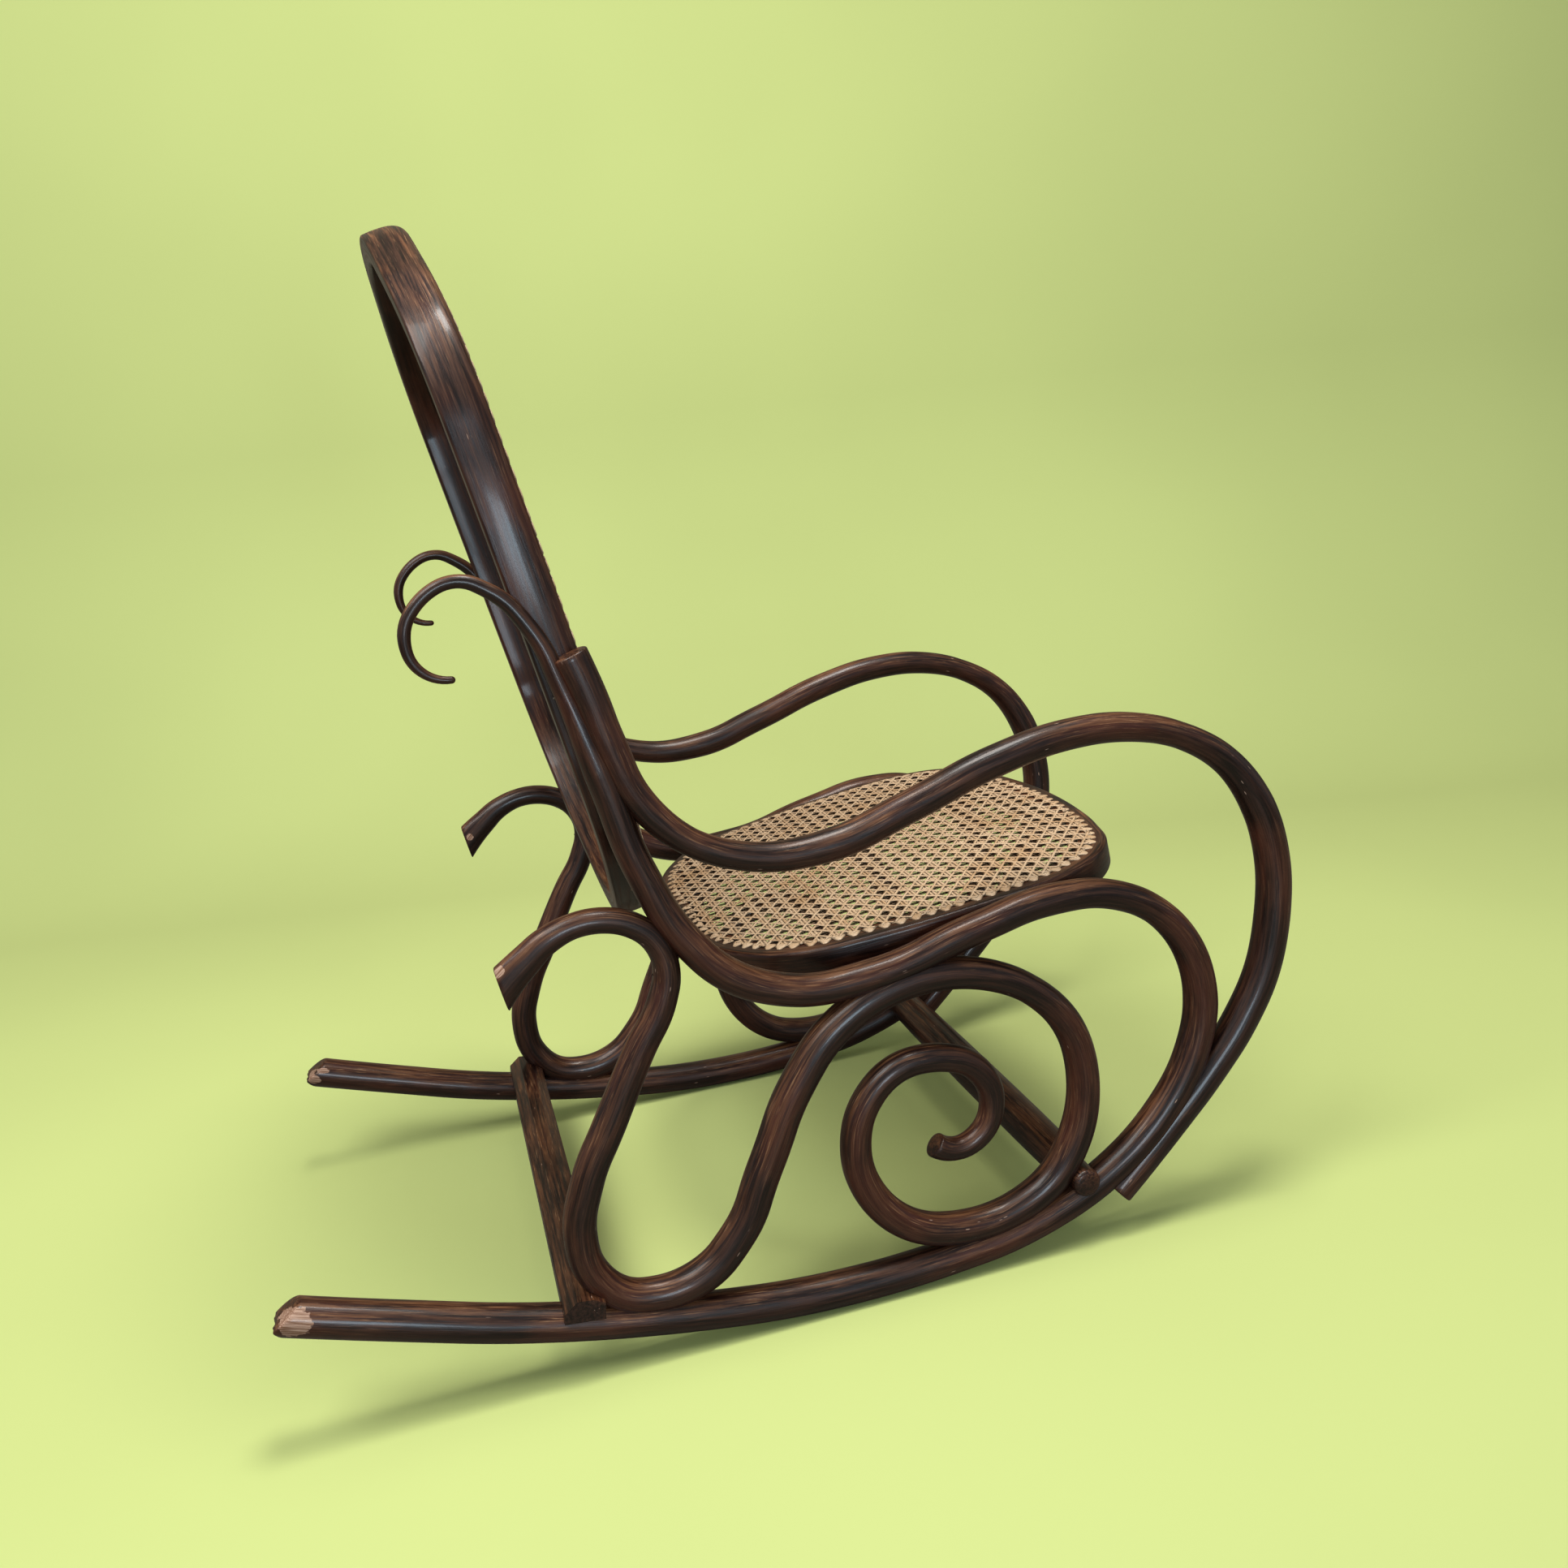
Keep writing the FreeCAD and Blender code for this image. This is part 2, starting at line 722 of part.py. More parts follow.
# Assembly in the working frame
def build_nodes():
    """Return every node of the chair by name, in the working frame."""
    nodes = {}
    split = joint_split_height
    low_zone = box_between(frame_zone_rear, frame_zone_front, frame_zone_foot, split)
    high_zone = box_between(frame_zone_rear, frame_zone_front, split, frame_zone_top)
    runner_cutter = runner_body(fit_gap)
    support_cutter = support_body(fit_gap)
    runner = runner_body(0.0)
    support = support_body(0.0)
    arm = rod(arm_edges, arm_radius, arm_radius)
    along_side = side_screws()
    across = cross_screws()
    side_holes = [joint.hole() for group in along_side.values() for joint in group]
    half = side_plane
    cross_holes = []
    for group in across.values():
        for joint in group:
            cross_holes.append(joint.hole().translated(Vector(0, half, 0)))
    runner = cut_all(runner, [tail_bevel(), support_cutter.common(low_zone)])
    runner = cut_all(runner, side_holes + cross_holes)
    support = cut_all(support, [runner_cutter.common(high_zone)] + side_holes)
    arm = cut_all(arm, [runner_cutter] + side_holes)
    nodes["right_runner"] = at_side(runner, right)
    nodes["right_arm"] = at_side(arm, right)
    nodes["right_scroll_support"] = at_side(support, right)
    for name in ("runner", "arm", "scroll_support"):
        nodes["left_" + name] = mirrored(nodes["right_" + name])

    cutters = []
    for side in (right, left):
        cutters.append(at_side(runner_cutter, side))
        cutters.append(at_side(support_cutter, side))
        for hole in side_holes:
            right_hole = at_side(hole, right)
            cutters.append(right_hole if side == right else mirrored(right_hole))
    nodes["front_stretcher"] = cut_all(front_stretcher_rod(), cutters)
    nodes["rear_stretcher"] = cut_all(rear_stretcher_bar(), cutters)

    hoop_turn = math.radians(hoop_recline)
    hoop_down = Vector(math.sin(hoop_turn), 0, -math.cos(hoop_turn))
    hoop_front = Vector(math.cos(hoop_turn), 0, math.sin(hoop_turn))
    hoop_origin = Vector(hoop_top[0], 0, hoop_top[1])
    hoop_place = frame_placement(hoop_origin, hoop_down, hoop_front)
    frame_half_width = side_plane - rail_radius - fit_gap
    hoop_half_width = side_plane - hoop_screw_radius + hoop_let_in
    hoop_side = hoop_upper_side + hoop_lower_side
    hoop_outline = closed_outline(0.0, hoop_side, hoop_length, hoop_half_width)
    hoop = ring(hoop_outline, hoop_thickness, hoop_depth, hoop_outer_round, hoop_inner_round)
    back_cane = cane_sheet(hoop_outline, hoop_thickness, back_cane_pitch).translated(Vector(0, 0, hoop_depth))

    seat_turn = math.radians(seat_tilt)
    seat_along = Vector(math.cos(seat_turn), 0, math.sin(seat_turn))
    seat_up = Vector(-math.sin(seat_turn), 0, math.cos(seat_turn))
    seat_origin = Vector(seat_reference[0], 0, seat_reference[1])
    seat_place = frame_placement(seat_origin, seat_along, seat_up)
    seat_outline = closed_outline(seat_rear, seat_side, seat_front, frame_half_width)
    seat = ring(seat_outline, seat_thickness, seat_depth, seat_round, 0.0)
    seat = seat.translated(Vector(0, 0, -seat_depth))
    seat_cane = cane_sheet(seat_outline, seat_thickness, seat_cane_pitch)

    frame_holes = []
    for group in across.values():
        for joint in group:
            frame_holes.append(joint.hole())
            frame_holes.append(mirrored(joint.hole()))
    runner_cutters = [at_side(runner_cutter, side) for side in (right, left)]
    nodes["back_hoop"] = cut_all(placed(hoop, hoop_place), runner_cutters + frame_holes)
    nodes["back_cane"] = placed(back_cane, hoop_place)
    nodes["seat_frame"] = cut_all(placed(seat, seat_place), frame_holes)
    nodes["seat_cane"] = placed(seat_cane, seat_place)

    for name, group in along_side.items():
        solids = [at_side(joint.solid(), right) for joint in group]
        nodes[name] = Part.makeCompound(solids + [mirrored(solid) for solid in solids])
    for name, group in across.items():
        solids = [joint.solid() for joint in group]
        nodes[name] = Part.makeCompound(solids + [mirrored(solid) for solid in solids])
    return nodes


def placed(shape, placement):
    """Return a copy of a shape moved by a placement."""
    moved = shape.copy()
    moved.Placement = placement.multiply(moved.Placement)
    return moved


# Angle of rest: the centre of mass stands over the point where the rockers touch the floor
def density(name):
    """Return the density of a node's material."""
    if name.endswith("screws"):
        return steel_density
    if name.endswith("cane"):
        return cane_density
    return wood_density


def mass_centre(nodes):
    """Return the mass and the centre of mass of all nodes."""
    total = 0.0
    moment = Vector(0, 0, 0)
    for name, shape in nodes.items():
        for solid in shape.Solids:
            mass = solid.Volume * density(name)
            total += mass
            moment += solid.CenterOfMass * mass
    return total, moment * (1.0 / total)


def turned(point, angle):
    """Return X and Z of a point turned nose-down about Y by an angle in radians."""
    x = point.x * math.cos(angle) + point.z * math.sin(angle)
    z = point.z * math.cos(angle) - point.x * math.sin(angle)
    return x, z


def rest_angle(centre):
    """Return the angle, in degrees, that puts the centre of mass over the contact point."""
    fine_points = centre_points(runner_edges[:rocker_end], per_edge=120)

    def lead(angle):
        lowest = min(fine_points, key=lambda point: turned(point, angle)[1])
        return turned(centre, angle)[0] - turned(lowest, angle)[0]

    low = math.radians(-15.0)
    high = math.radians(15.0)
    for _ in range(50):
        middle = 0.5 * (low + high)
        if lead(low) * lead(middle) <= 0.0:
            high = middle
        else:
            low = middle
    return math.degrees(0.5 * (low + high))


def extents(shapes):
    """Return the corners of the box round the finely faceted shapes."""
    low = [1e9, 1e9, 1e9]
    high = [-1e9, -1e9, -1e9]
    for shape in shapes:
        for point in shape.tessellate(0.2)[0]:
            for axis, value in enumerate((point.x, point.y, point.z)):
                low[axis] = min(low[axis], value)
                high[axis] = max(high[axis], value)
    return low, high


def main():
    """Build the chair, rock it to rest, stand it on the floor and write its parts."""
    nodes = build_nodes()
    total, centre = mass_centre(nodes)
    angle = rest_angle(centre)
    rock = FreeCAD.Placement(Vector(0, 0, 0), FreeCAD.Rotation(y_axis, angle))
    nodes = {name: placed(shape, rock) for name, shape in nodes.items()}
    low, high = extents(nodes.values())
    middle = Vector(0.5 * (low[0] + high[0]), 0.5 * (low[1] + high[1]), low[2])
    shift = FreeCAD.Placement(middle * -1.0, FreeCAD.Rotation())
    nodes = {name: placed(shape, shift) for name, shape in nodes.items()}
    os.makedirs("parts", exist_ok=True)
    for name, shape in nodes.items():
        valid = shape.isValid()
        print(name, "solids", len(shape.Solids), "valid", valid, "volume", round(shape.Volume))
        shape.exportStep("parts/" + name + ".step")
    size = [round(high[axis] - low[axis], 1) for axis in range(3)]
    print("size", size, "mass", round(total, 2), "rest angle", round(angle, 3))
    print("moved by", round(-middle.x, 3), round(-middle.y, 3), round(-middle.z, 3))


if __name__ == "__main__":
    main()
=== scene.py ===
"""Bentwood rocking chair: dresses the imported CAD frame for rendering.

Lengths in the class fields are millimetres in the maker's working frame (X to the front,
Y to the sitter's left, Z up, middle plane at Y = 0). Every mesh is then rocked to the angle
of rest and written in metres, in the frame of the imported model.
"""

import json
import logging
import math
import random
from collections.abc import Sequence
from dataclasses import dataclass, field
from enum import Enum

import bpy
from mathutils import Matrix, Vector

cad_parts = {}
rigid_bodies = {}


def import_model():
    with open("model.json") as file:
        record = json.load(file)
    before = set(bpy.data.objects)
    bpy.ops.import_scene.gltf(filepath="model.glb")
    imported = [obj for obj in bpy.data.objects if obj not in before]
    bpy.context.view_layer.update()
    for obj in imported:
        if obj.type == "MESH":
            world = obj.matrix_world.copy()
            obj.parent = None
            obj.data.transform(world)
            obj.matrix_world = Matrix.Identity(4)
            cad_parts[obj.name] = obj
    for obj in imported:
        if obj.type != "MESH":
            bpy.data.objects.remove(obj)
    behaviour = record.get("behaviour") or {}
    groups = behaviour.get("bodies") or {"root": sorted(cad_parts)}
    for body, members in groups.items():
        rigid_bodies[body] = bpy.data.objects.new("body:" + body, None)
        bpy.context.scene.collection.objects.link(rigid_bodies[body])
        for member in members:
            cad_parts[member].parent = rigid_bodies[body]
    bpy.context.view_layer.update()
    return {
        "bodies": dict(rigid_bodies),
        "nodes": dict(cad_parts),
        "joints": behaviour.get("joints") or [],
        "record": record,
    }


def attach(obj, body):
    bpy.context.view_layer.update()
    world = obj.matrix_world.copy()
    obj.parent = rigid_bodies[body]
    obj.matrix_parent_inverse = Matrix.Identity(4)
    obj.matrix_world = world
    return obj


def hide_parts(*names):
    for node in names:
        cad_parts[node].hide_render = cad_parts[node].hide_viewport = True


logging.basicConfig(level=logging.INFO, format="%(message)s")
log = logging.getLogger("rocking_chair")

Point = tuple[float, float]
Colour = tuple[float, float, float]
Triple = tuple[float, float, float]
Span = tuple[float, float]
Sample = tuple[Vector, Vector, float, float]
Socket = bpy.types.NodeSocket

MM = 0.001
REST_TURN = math.radians(6.197)
REST_SHIFT = Vector((-36.879, 0.0, 2.149))
SIDE_PLANE = 255.0
RAIL_RADIUS = 15.0
FIT_GAP = 0.3
BODY = "root"

# How finely bends are sampled, and what counts as straight
BEND_STEP = 0.06
STRAIGHT_TURN = 1e-5
PARALLEL_SPREAD = 1e-9

# Unevenness of a rod worked by hand: two wave lengths, how far the rod's seed shifts the long
# wave, the waves' share of the radius, and how much thinner than its solid the skin is
WAVER_LENGTHS = (37.0, 91.0)
WAVER_SHIFT = 2.3
WAVER_SHARE = 0.004
SKIN_ALLOWANCE = 0.05

# How far along its log a piece's grain may start, in metres
GRAIN_SPREAD = 5.0

# A chip is bare out to this share of its size less one, and has faded away at this share
CHIP_REACH = 1.4

# Saw cut of a rocker's tail: height of its outermost point, slopes above and below it in
# shares of the radius, how round it is below, and how far in it lies. Then the slope and place
# of an oblique cut.
TAIL_LIP = -0.4
TAIL_SLOPE = 0.72
TAIL_UNDERCUT = 0.70
TAIL_ROUNDING = 1.5
TAIL_SETBACK = 5.0
OBLIQUE_SLOPE = 11.0
OBLIQUE_SETBACK = 1.0

# Ends of a rod: how far in and how far out each ring lies, as shares of the radius
DOME_RINGS = ((0.93, 0.36), (0.76, 0.64), (0.5, 0.86), (0.22, 0.97), (0.0, 1.0))
SAWN_RINGS = ((0.97, 0.06), (0.90, 0.10), (0.6, 0.11), (0.3, 0.11), (0.0, 0.11))

# A tongue of the cane: shares of its length and of the pitch, and its level
TONGUE_RINGS = (
    (0.0, 0.50, 1.15), (0.35, 0.43, 1.05), (0.65, 0.30, 0.75), (0.92, 0.17, 0.15),
    (1.04, 0.10, -1.2),
)
TONGUE_SECTION = ((-1.0, -0.45), (-0.5, 0.4), (0.5, 0.4), (1.0, -0.45), (0.0, -0.7))

# Colour sockets of the Mix node, whose names repeat: first, second and result
MIX_FIRST, MIX_SECOND, MIX_RESULT = 6, 7, 2


class Side(Enum):
    """Side of the chair, as the sign of Y."""

    RIGHT = -1
    LEFT = 1

    @property
    def word(self) -> str:
        """Return the side's name as it stands in node names."""
        return self.name.lower()


class EndShape(Enum):
    """How the end of a rod is finished."""

    SAWN = "sawn"
    DOMED = "domed"
    SLANTED = "slanted"
    OBLIQUE = "oblique"


class GrainPath(Enum):
    """What the grain of a wooden piece follows."""

    BENT = "bent"
    CROSSWISE = "crosswise"


def at_rest(point: Vector) -> Vector:
    """Rock a working-frame point to the angle of rest.

    Args:
        point: Point in millimetres in the working frame.

    Returns:
        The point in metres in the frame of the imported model.
    """
    turned = turned_to_rest(point) + REST_SHIFT
    return turned * MM


def turned_to_rest(direction: Vector) -> Vector:
    """Turn a working-frame direction nose-down about Y by the angle of rest.

    Args:
        direction: Direction or point in the working frame.

    Returns:
        The turned direction.
    """
    cosine, sine = math.cos(REST_TURN), math.sin(REST_TURN)
    x = direction.x * cosine + direction.z * sine
    z = direction.z * cosine - direction.x * sine
    return Vector((x, direction.y, z))


def rotated(vector: Vector, angle: float) -> Vector:
    """Turn a flat vector.

    Args:
        vector: The vector.
        angle: The turn, in radians.

    Returns:
        The turned vector.
    """
    cosine, sine = math.cos(angle), math.sin(angle)
    return Vector((vector.x * cosine - vector.y * sine, vector.x * sine + vector.y * cosine))


# Tangent arcs through stations
def circle_direction(before: Vector, here: Vector, after: Vector) -> Vector:
    """Return the direction, at here, of the circle through three stations.

    Args:
        before: Station before.
        here: Station at which the direction is wanted.
        after: Station after.

    Returns:
        A direction of length one.
    """
    step_in, step_out = here - before, after - here
    weighted = step_in / step_in.length_squared + step_out / step_out.length_squared
    return weighted.normalized()


def arc_partner(direction: Vector, start: Vector, end: Vector) -> Vector:
    """Return the direction at the far end of the arc that leaves start along direction.

    Args:
        direction: Direction at the start.
        start: Start of the arc.
        end: End of the arc.

    Returns:
        The direction at the end of the arc.
    """
    chord = (end - start).normalized()
    return chord * (2.0 * direction.dot(chord)) - direction


@dataclass
class CentreLine:
    """A chain of tangent arcs through flat stations, sampled as points.

    The samples keep, for each point, its direction, its distance along the line and the
    fractional number of the station it belongs to.
    """

    stations: Sequence[Point]
    closed: bool = False
    step: float = 4.0
    points: list[Vector] = field(default_factory=list)
    directions: list[Vector] = field(default_factory=list)
    lengths: list[float] = field(default_factory=list)
    places: list[float] = field(default_factory=list)

    def __post_init__(self) -> None:
        """Sample the arcs."""
        flat = [Vector(station) for station in self.stations]
        headings = self.station_headings(flat)
        spans = len(flat) if self.closed else len(flat) - 1
        for index in range(spans):
            following = (index + 1) % len(flat)
            start, end = flat[index], flat[following]
            self.add_pair(index, start, headings[index], end, headings[following])
        if not self.closed:
            self.points.append(flat[-1])
            self.directions.append(headings[-1])
            self.places.append(float(spans))
        run = 0.0
        for index, point in enumerate(self.points):
            if index:
                run += (point - self.points[index - 1]).length
            self.lengths.append(run)

    def station_headings(self, flat: Sequence[Vector]) -> list[Vector]:
        """Return one direction for each station, from its neighbours.

        Args:
            flat: The stations.

        Returns:
            One direction for each station.
        """
        count = len(flat)
        inner = range(count) if self.closed else range(1, count - 1)
        found = {i: circle_direction(flat[i - 1], flat[i], flat[(i + 1) % count]) for i in inner}
        if not self.closed:
            found[0] = arc_partner(found[1], flat[0], flat[1])
            found[count - 1] = arc_partner(found[count - 2], flat[-2], flat[-1])
        return [found[index] for index in range(count)]

    def add_pair(
        self,
        index: int,
        start: Vector,
        leaving: Vector,
        end: Vector,
        arriving: Vector,
    ) -> None:
        """Add the samples of the two arcs between two stations.

        Args:
            index: Number of the first station.
            start: The first station.
            leaving: Direction at the first station.
            end: The second station.
            arriving: Direction at the second station.
        """
        chord, both = end - start, leaving + arriving
        spread = 2.0 * (1.0 - leaving.dot(arriving))
        along = chord.dot(both)
        if spread < PARALLEL_SPREAD:
            reach = chord.length_squared / (2.0 * along)
        else:
            reach = (math.sqrt(along**2 + spread * chord.length_squared) - along) / spread
        joint = (start + end + (leaving - arriving) * reach) * 0.5
        self.add_arc(index, 0.0, start, leaving, joint)
        self.add_arc(index, 0.5, joint, arc_partner(leaving, start, joint), end)

    def add_arc(
        self,
        index: int,
        share: float,
        start: Vector,
        leaving: Vector,
        end: Vector,
    ) -> None:
        """Add the samples of one arc, without its end.

        Args:
            index: Number of the station before the arc.
            share: 0 for the first arc after the station, 0.5 for the second.
            start: Start of the arc.
            leaving: Direction at its start.
            end: End of the arc.
        """
        chord = end - start
        half_turn = math.atan2(leaving.x * chord.y - leaving.y * chord.x, leaving.dot(chord))
        by_length, by_bend = chord.length / self.step, abs(half_turn) / BEND_STEP
        count = max(2, math.ceil(by_length), math.ceil(by_bend))
        for number in range(count):
            part = number / count
            if abs(half_turn) < STRAIGHT_TURN:
                point = start + chord * part
            else:
                size = math.sin(half_turn * part) / math.sin(half_turn)
                point = start + rotated(chord, half_turn * (part - 1.0)) * size
            self.points.append(point)
            self.directions.append(rotated(leaving, 2.0 * half_turn * part))
            self.places.append(index + share + 0.5 * part)

    def inset(self, distance: float) -> list[Vector]:
        """Return the samples moved sideways, to the left of the line's direction.

        Args:
            distance: How far the samples move.

        Returns:
            The moved samples.
        """
        pairs = zip(self.points, self.directions)
        return [point + Vector((-heading.y, heading.x)) * distance for point, heading in pairs]


# Meshes
@dataclass
class MeshDraft:
    """Vertices, faces and per-vertex facts of a piece before it becomes an object.

    straight holds each vertex's place in the wood as it was before bending: across the rod,
    across it the other way, and along it. tint runs from 0 to 1: on wood it is how far the
    varnish is chipped off, and on cane how honey-coloured the strand is.
    """

    vertices: list[Vector] = field(default_factory=list)
    faces: list[tuple[int, ...]] = field(default_factory=list)
    straight: list[Vector] = field(default_factory=list)
    tint: list[float] = field(default_factory=list)

    def add(self, point: Vector, straight: Vector, tint: float = 0.0) -> int:
        """Add a vertex and return its number.

        Args:
            point: Its place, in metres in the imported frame.
            straight: Its place in the straight rod, in metres.
            tint: How chipped or how honey-coloured it is, from 0 to 1.

        Returns:
            The number of the vertex.
        """
        self.vertices.append(point)
        self.straight.append(straight)
        self.tint.append(tint)
        return len(self.vertices) - 1

    def bridge(self, first: Sequence[int], second: Sequence[int]) -> None:
        """Join two rings of as many vertices with quads.

        Args:
            first: Vertices of the first ring.
            second: Vertices of the second ring.
        """
        count = len(first)
        for index in range(count):
            following = (index + 1) % count
            self.faces.append((first[index], first[following], second[following], second[index]))

    def loft(self, rings: Sequence[list[int]]) -> None:
        """Skin a bar over its rings and close both ends.

        Args:
            rings: Rings of as many vertices, from the bar's start to its end.
        """
        self.faces.append(tuple(rings[0]))
        for first, second in zip(rings, rings[1:]):
            self.bridge(second, first)
        self.faces.append(tuple(reversed(rings[-1])))

    def piece(self, name: str, material: bpy.types.Material, slot: str) -> bpy.types.Object:
        """Make the object, and let it ride on the chair's body.

        Args:
            name: Name of the piece.
            material: Its finish.
            slot: The record's material slot; not used.

        Returns:
            The new object.
        """
        mesh = bpy.data.meshes.new(name)
        mesh.from_pydata(self.vertices, [], self.faces)
        wood = mesh.attributes.new("straight", "FLOAT_VECTOR", "POINT")
        wood.data.foreach_set("vector", [value for place in self.straight for value in place])
        tints = mesh.attributes.new("tint", "FLOAT", "POINT")
        tints.data.foreach_set("value", self.tint)
        mesh.polygons.foreach_set("use_smooth", [True] * len(mesh.polygons))
        mesh.materials.append(material)
        mesh.validate()
        mesh.update()
        made = bpy.data.objects.new(name, mesh)
        bpy.context.scene.collection.objects.link(made)
        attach(made, BODY)
        log.info("%s: %d faces", name, len(mesh.polygons))
        return made


@dataclass(frozen=True)
class Break:
    """A station where a rod's even taper changes."""

    station: int
    radius: float


@dataclass(frozen=True)
class Chip:
    """A place where the varnish is chipped off down to the wood.

    Angles are degrees round the rod from its upper side, lengths are millimetres.
    """

    angle: float
    from_start: float
    width: float
    length: float

    def bareness(self, angle: float, radius: float, along: float) -> float:
        """Return how bare a place on the rod is.

        Args:
            angle: Place round the rod, in radians.
            radius: Radius of the rod there.
            along: Distance from the rod's start.

        Returns:
            A number from 0 to 1.
        """
        turn = math.remainder(angle - math.radians(self.angle), 2.0 * math.pi)
        distance = math.hypot(turn * radius / self.width, (along - self.from_start) / self.length)
        return min(1.0, max(0.0, CHIP_REACH - distance))


@dataclass
class BentRod:
    """A round rod bent in one plane, with its taper and the finish of its two ends."""

    name: str
    line: CentreLine
    breaks: Sequence[Break]
    side: Side
    start: EndShape = EndShape.SAWN
    end: EndShape = EndShape.SAWN
    chips: Sequence[Chip] = ()
    splay: float = 0.0
    splay_reach: float = 80.0
    splay_fade: float = 1.5
    splay_narrowing: float = 0.6
    cut_reach: float = 60.0
    sides: int = 32
    seed: int = 1

    def radius_at(self, place: float, length: float) -> float:
        """Return the rod's radius at a place.

        Args:
            place: Fractional number of the station.
            length: Distance along the line.

        Returns:
            The radius in millimetres, with a hand-worked waver.
        """
        radius = self.breaks[-1].radius
        for low, high in zip(self.breaks, self.breaks[1:]):
            if place <= high.station:
                share = (place - low.station) / (high.station - low.station)
                radius = low.radius + (high.radius - low.radius) * share
                break
        short, long = WAVER_LENGTHS
        waver = math.sin(length / short + self.seed)
        waver += math.sin(length / long + WAVER_SHIFT * self.seed)
        return radius * (1.0 + WAVER_SHARE * waver) - SKIN_ALLOWANCE

    def draft(self) -> MeshDraft:
        """Return the swept skin with its ends."""
        draft = MeshDraft()
        rng = random.Random(self.seed)
        grain_shift = rng.uniform(0.0, GRAIN_SPREAD)
        rings: list[list[int]] = []
        line = self.line
        samples = list(zip(line.points, line.directions, line.lengths, line.places))
        for sample in samples:
            radius = self.radius_at(sample[3], sample[2])
            ring = []
            for number in range(self.sides):
                angle = 2.0 * math.pi * number / self.sides
                slide = self.skin_slide(radius, angle, sample[2])
                ring.append(self.add_skin(draft, sample, radius, angle, slide, grain_shift))
            rings.append(ring)
        for first, second in zip(rings, rings[1:]):
            draft.bridge(second, first)
        self.close(draft, samples[0], rings[0], self.start, -1.0, grain_shift)
        self.close(draft, samples[-1], rings[-1], self.end, 1.0, grain_shift)
        return draft

    def cut(self, radius: float, height: float) -> float:
        """Return how far the start's saw cut lies inwards of a square one.

        Args:
            radius: Radius of the rod.
            height: Height in the section, from -1 at the lower side to 1 at the upper.

        Returns:
            The distance in millimetres, positive towards the rod's end.
        """
        if self.start is EndShape.SLANTED:
            if height > TAIL_LIP:
                return radius * TAIL_SLOPE * (height - TAIL_LIP) + TAIL_SETBACK
            below = (TAIL_LIP - height) / (1.0 + TAIL_LIP)
            return radius * TAIL_UNDERCUT * below**TAIL_ROUNDING + TAIL_SETBACK
        if self.start is EndShape.OBLIQUE:
            return OBLIQUE_SLOPE * height + OBLIQUE_SETBACK
        return 0.0

    def skin_slide(self, radius: float, angle: float, length: float) -> float:
        """Return how far a skin vertex slides along the rod, which fades with the distance.

        Args:
            radius: Radius at the vertex.
            angle: Place of the vertex round the rod.
            length: Distance from the rod's start.

        Returns:
            The slide in millimetres, positive towards the rod's end.
        """
        if length > self.cut_reach:
            return 0.0
        return self.cut(radius, math.cos(angle)) * (1.0 - length / self.cut_reach)

    def add_skin(
        self,
        draft: MeshDraft,
        sample: Sample,
        radius: float,
        angle: float,
        slide: float,
        grain_shift: float,
    ) -> int:
        """Add one vertex of the skin.

        Args:
            draft: The mesh being made.
            sample: Centre, direction, distance and place of the ring.
            radius: Distance of the vertex from the centre.
            angle: Place of the vertex round the rod, 0 on the upper side.
            slide: How far it is moved along the rod.
            grain_shift: Offset that gives each rod its own grain.

        Returns:
            The number of the vertex.
        """
        point, heading, length, _ = sample
        splay = self.splay * max(0.0, 1.0 - length / self.splay_reach) ** self.splay_fade
        high = radius * (1.0 + splay) * math.cos(angle)
        wide = radius * (1.0 - self.splay_narrowing * splay) * math.sin(angle)
        flat = point + Vector((-heading.y, heading.x)) * high + heading * slide
        place = at_rest(Vector((flat.x, self.side.value * SIDE_PLANE + wide, flat.y)))
        along = length + slide
        straight = Vector((high * MM, wide * MM, along * MM + grain_shift))
        chipped = max((chip.bareness(angle, radius, along) for chip in self.chips), default=0.0)
        return draft.add(place, straight, chipped)

    def close(
        self,
        draft: MeshDraft,
        sample: Sample,
        ring: list[int],
        shape: EndShape,
        outward: float,
        grain_shift: float,
    ) -> None:
        """Close one end of the rod.

        Args:
            draft: The mesh being made.
            sample: Centre, direction, distance and place of the last ring.
            ring: Vertices of the last ring.
            shape: How the end is finished.
            outward: 1 at the rod's end and -1 at its start.
            grain_shift: Offset that gives each rod its own grain.
        """
        radius = self.radius_at(sample[3], sample[2])
        profile = DOME_RINGS if shape is EndShape.DOMED else SAWN_RINGS
        last = ring
        for share, bulge in profile[:-1]:
            following, reach = [], radius * share
            for number in range(self.sides):
                angle = 2.0 * math.pi * number / self.sides
                slide = self.end_slide(radius, share * math.cos(angle), bulge, outward)
                following.append(self.add_skin(draft, sample, reach, angle, slide, grain_shift))
            self.join_rings(draft, last, following, outward)
            last = following
        slide = self.end_slide(radius, 0.0, profile[-1][1], outward)
        centre = self.add_skin(draft, sample, 0.0, 0.0, slide, grain_shift)
        for index in range(self.sides):
            following_index = (index + 1) % self.sides
            face = (last[index], last[following_index], centre)
            draft.faces.append(face[::-1] if outward > 0 else face)

    def end_slide(self, radius: float, height: float, bulge: float, outward: float) -> float:
        """Return how far a vertex of an end face lies beyond the last ring.

        Args:
            radius: Radius of the last ring.
            height: Height in the section, from -1 to 1.
            bulge: How far the face stands out there, as a share of the radius.
            outward: 1 at the rod's end and -1 at its start.

        Returns:
            The distance in millimetres, positive towards the rod's end.
        """
        slide = outward * bulge * radius
        return slide + self.cut(radius, height) if outward < 0 else slide

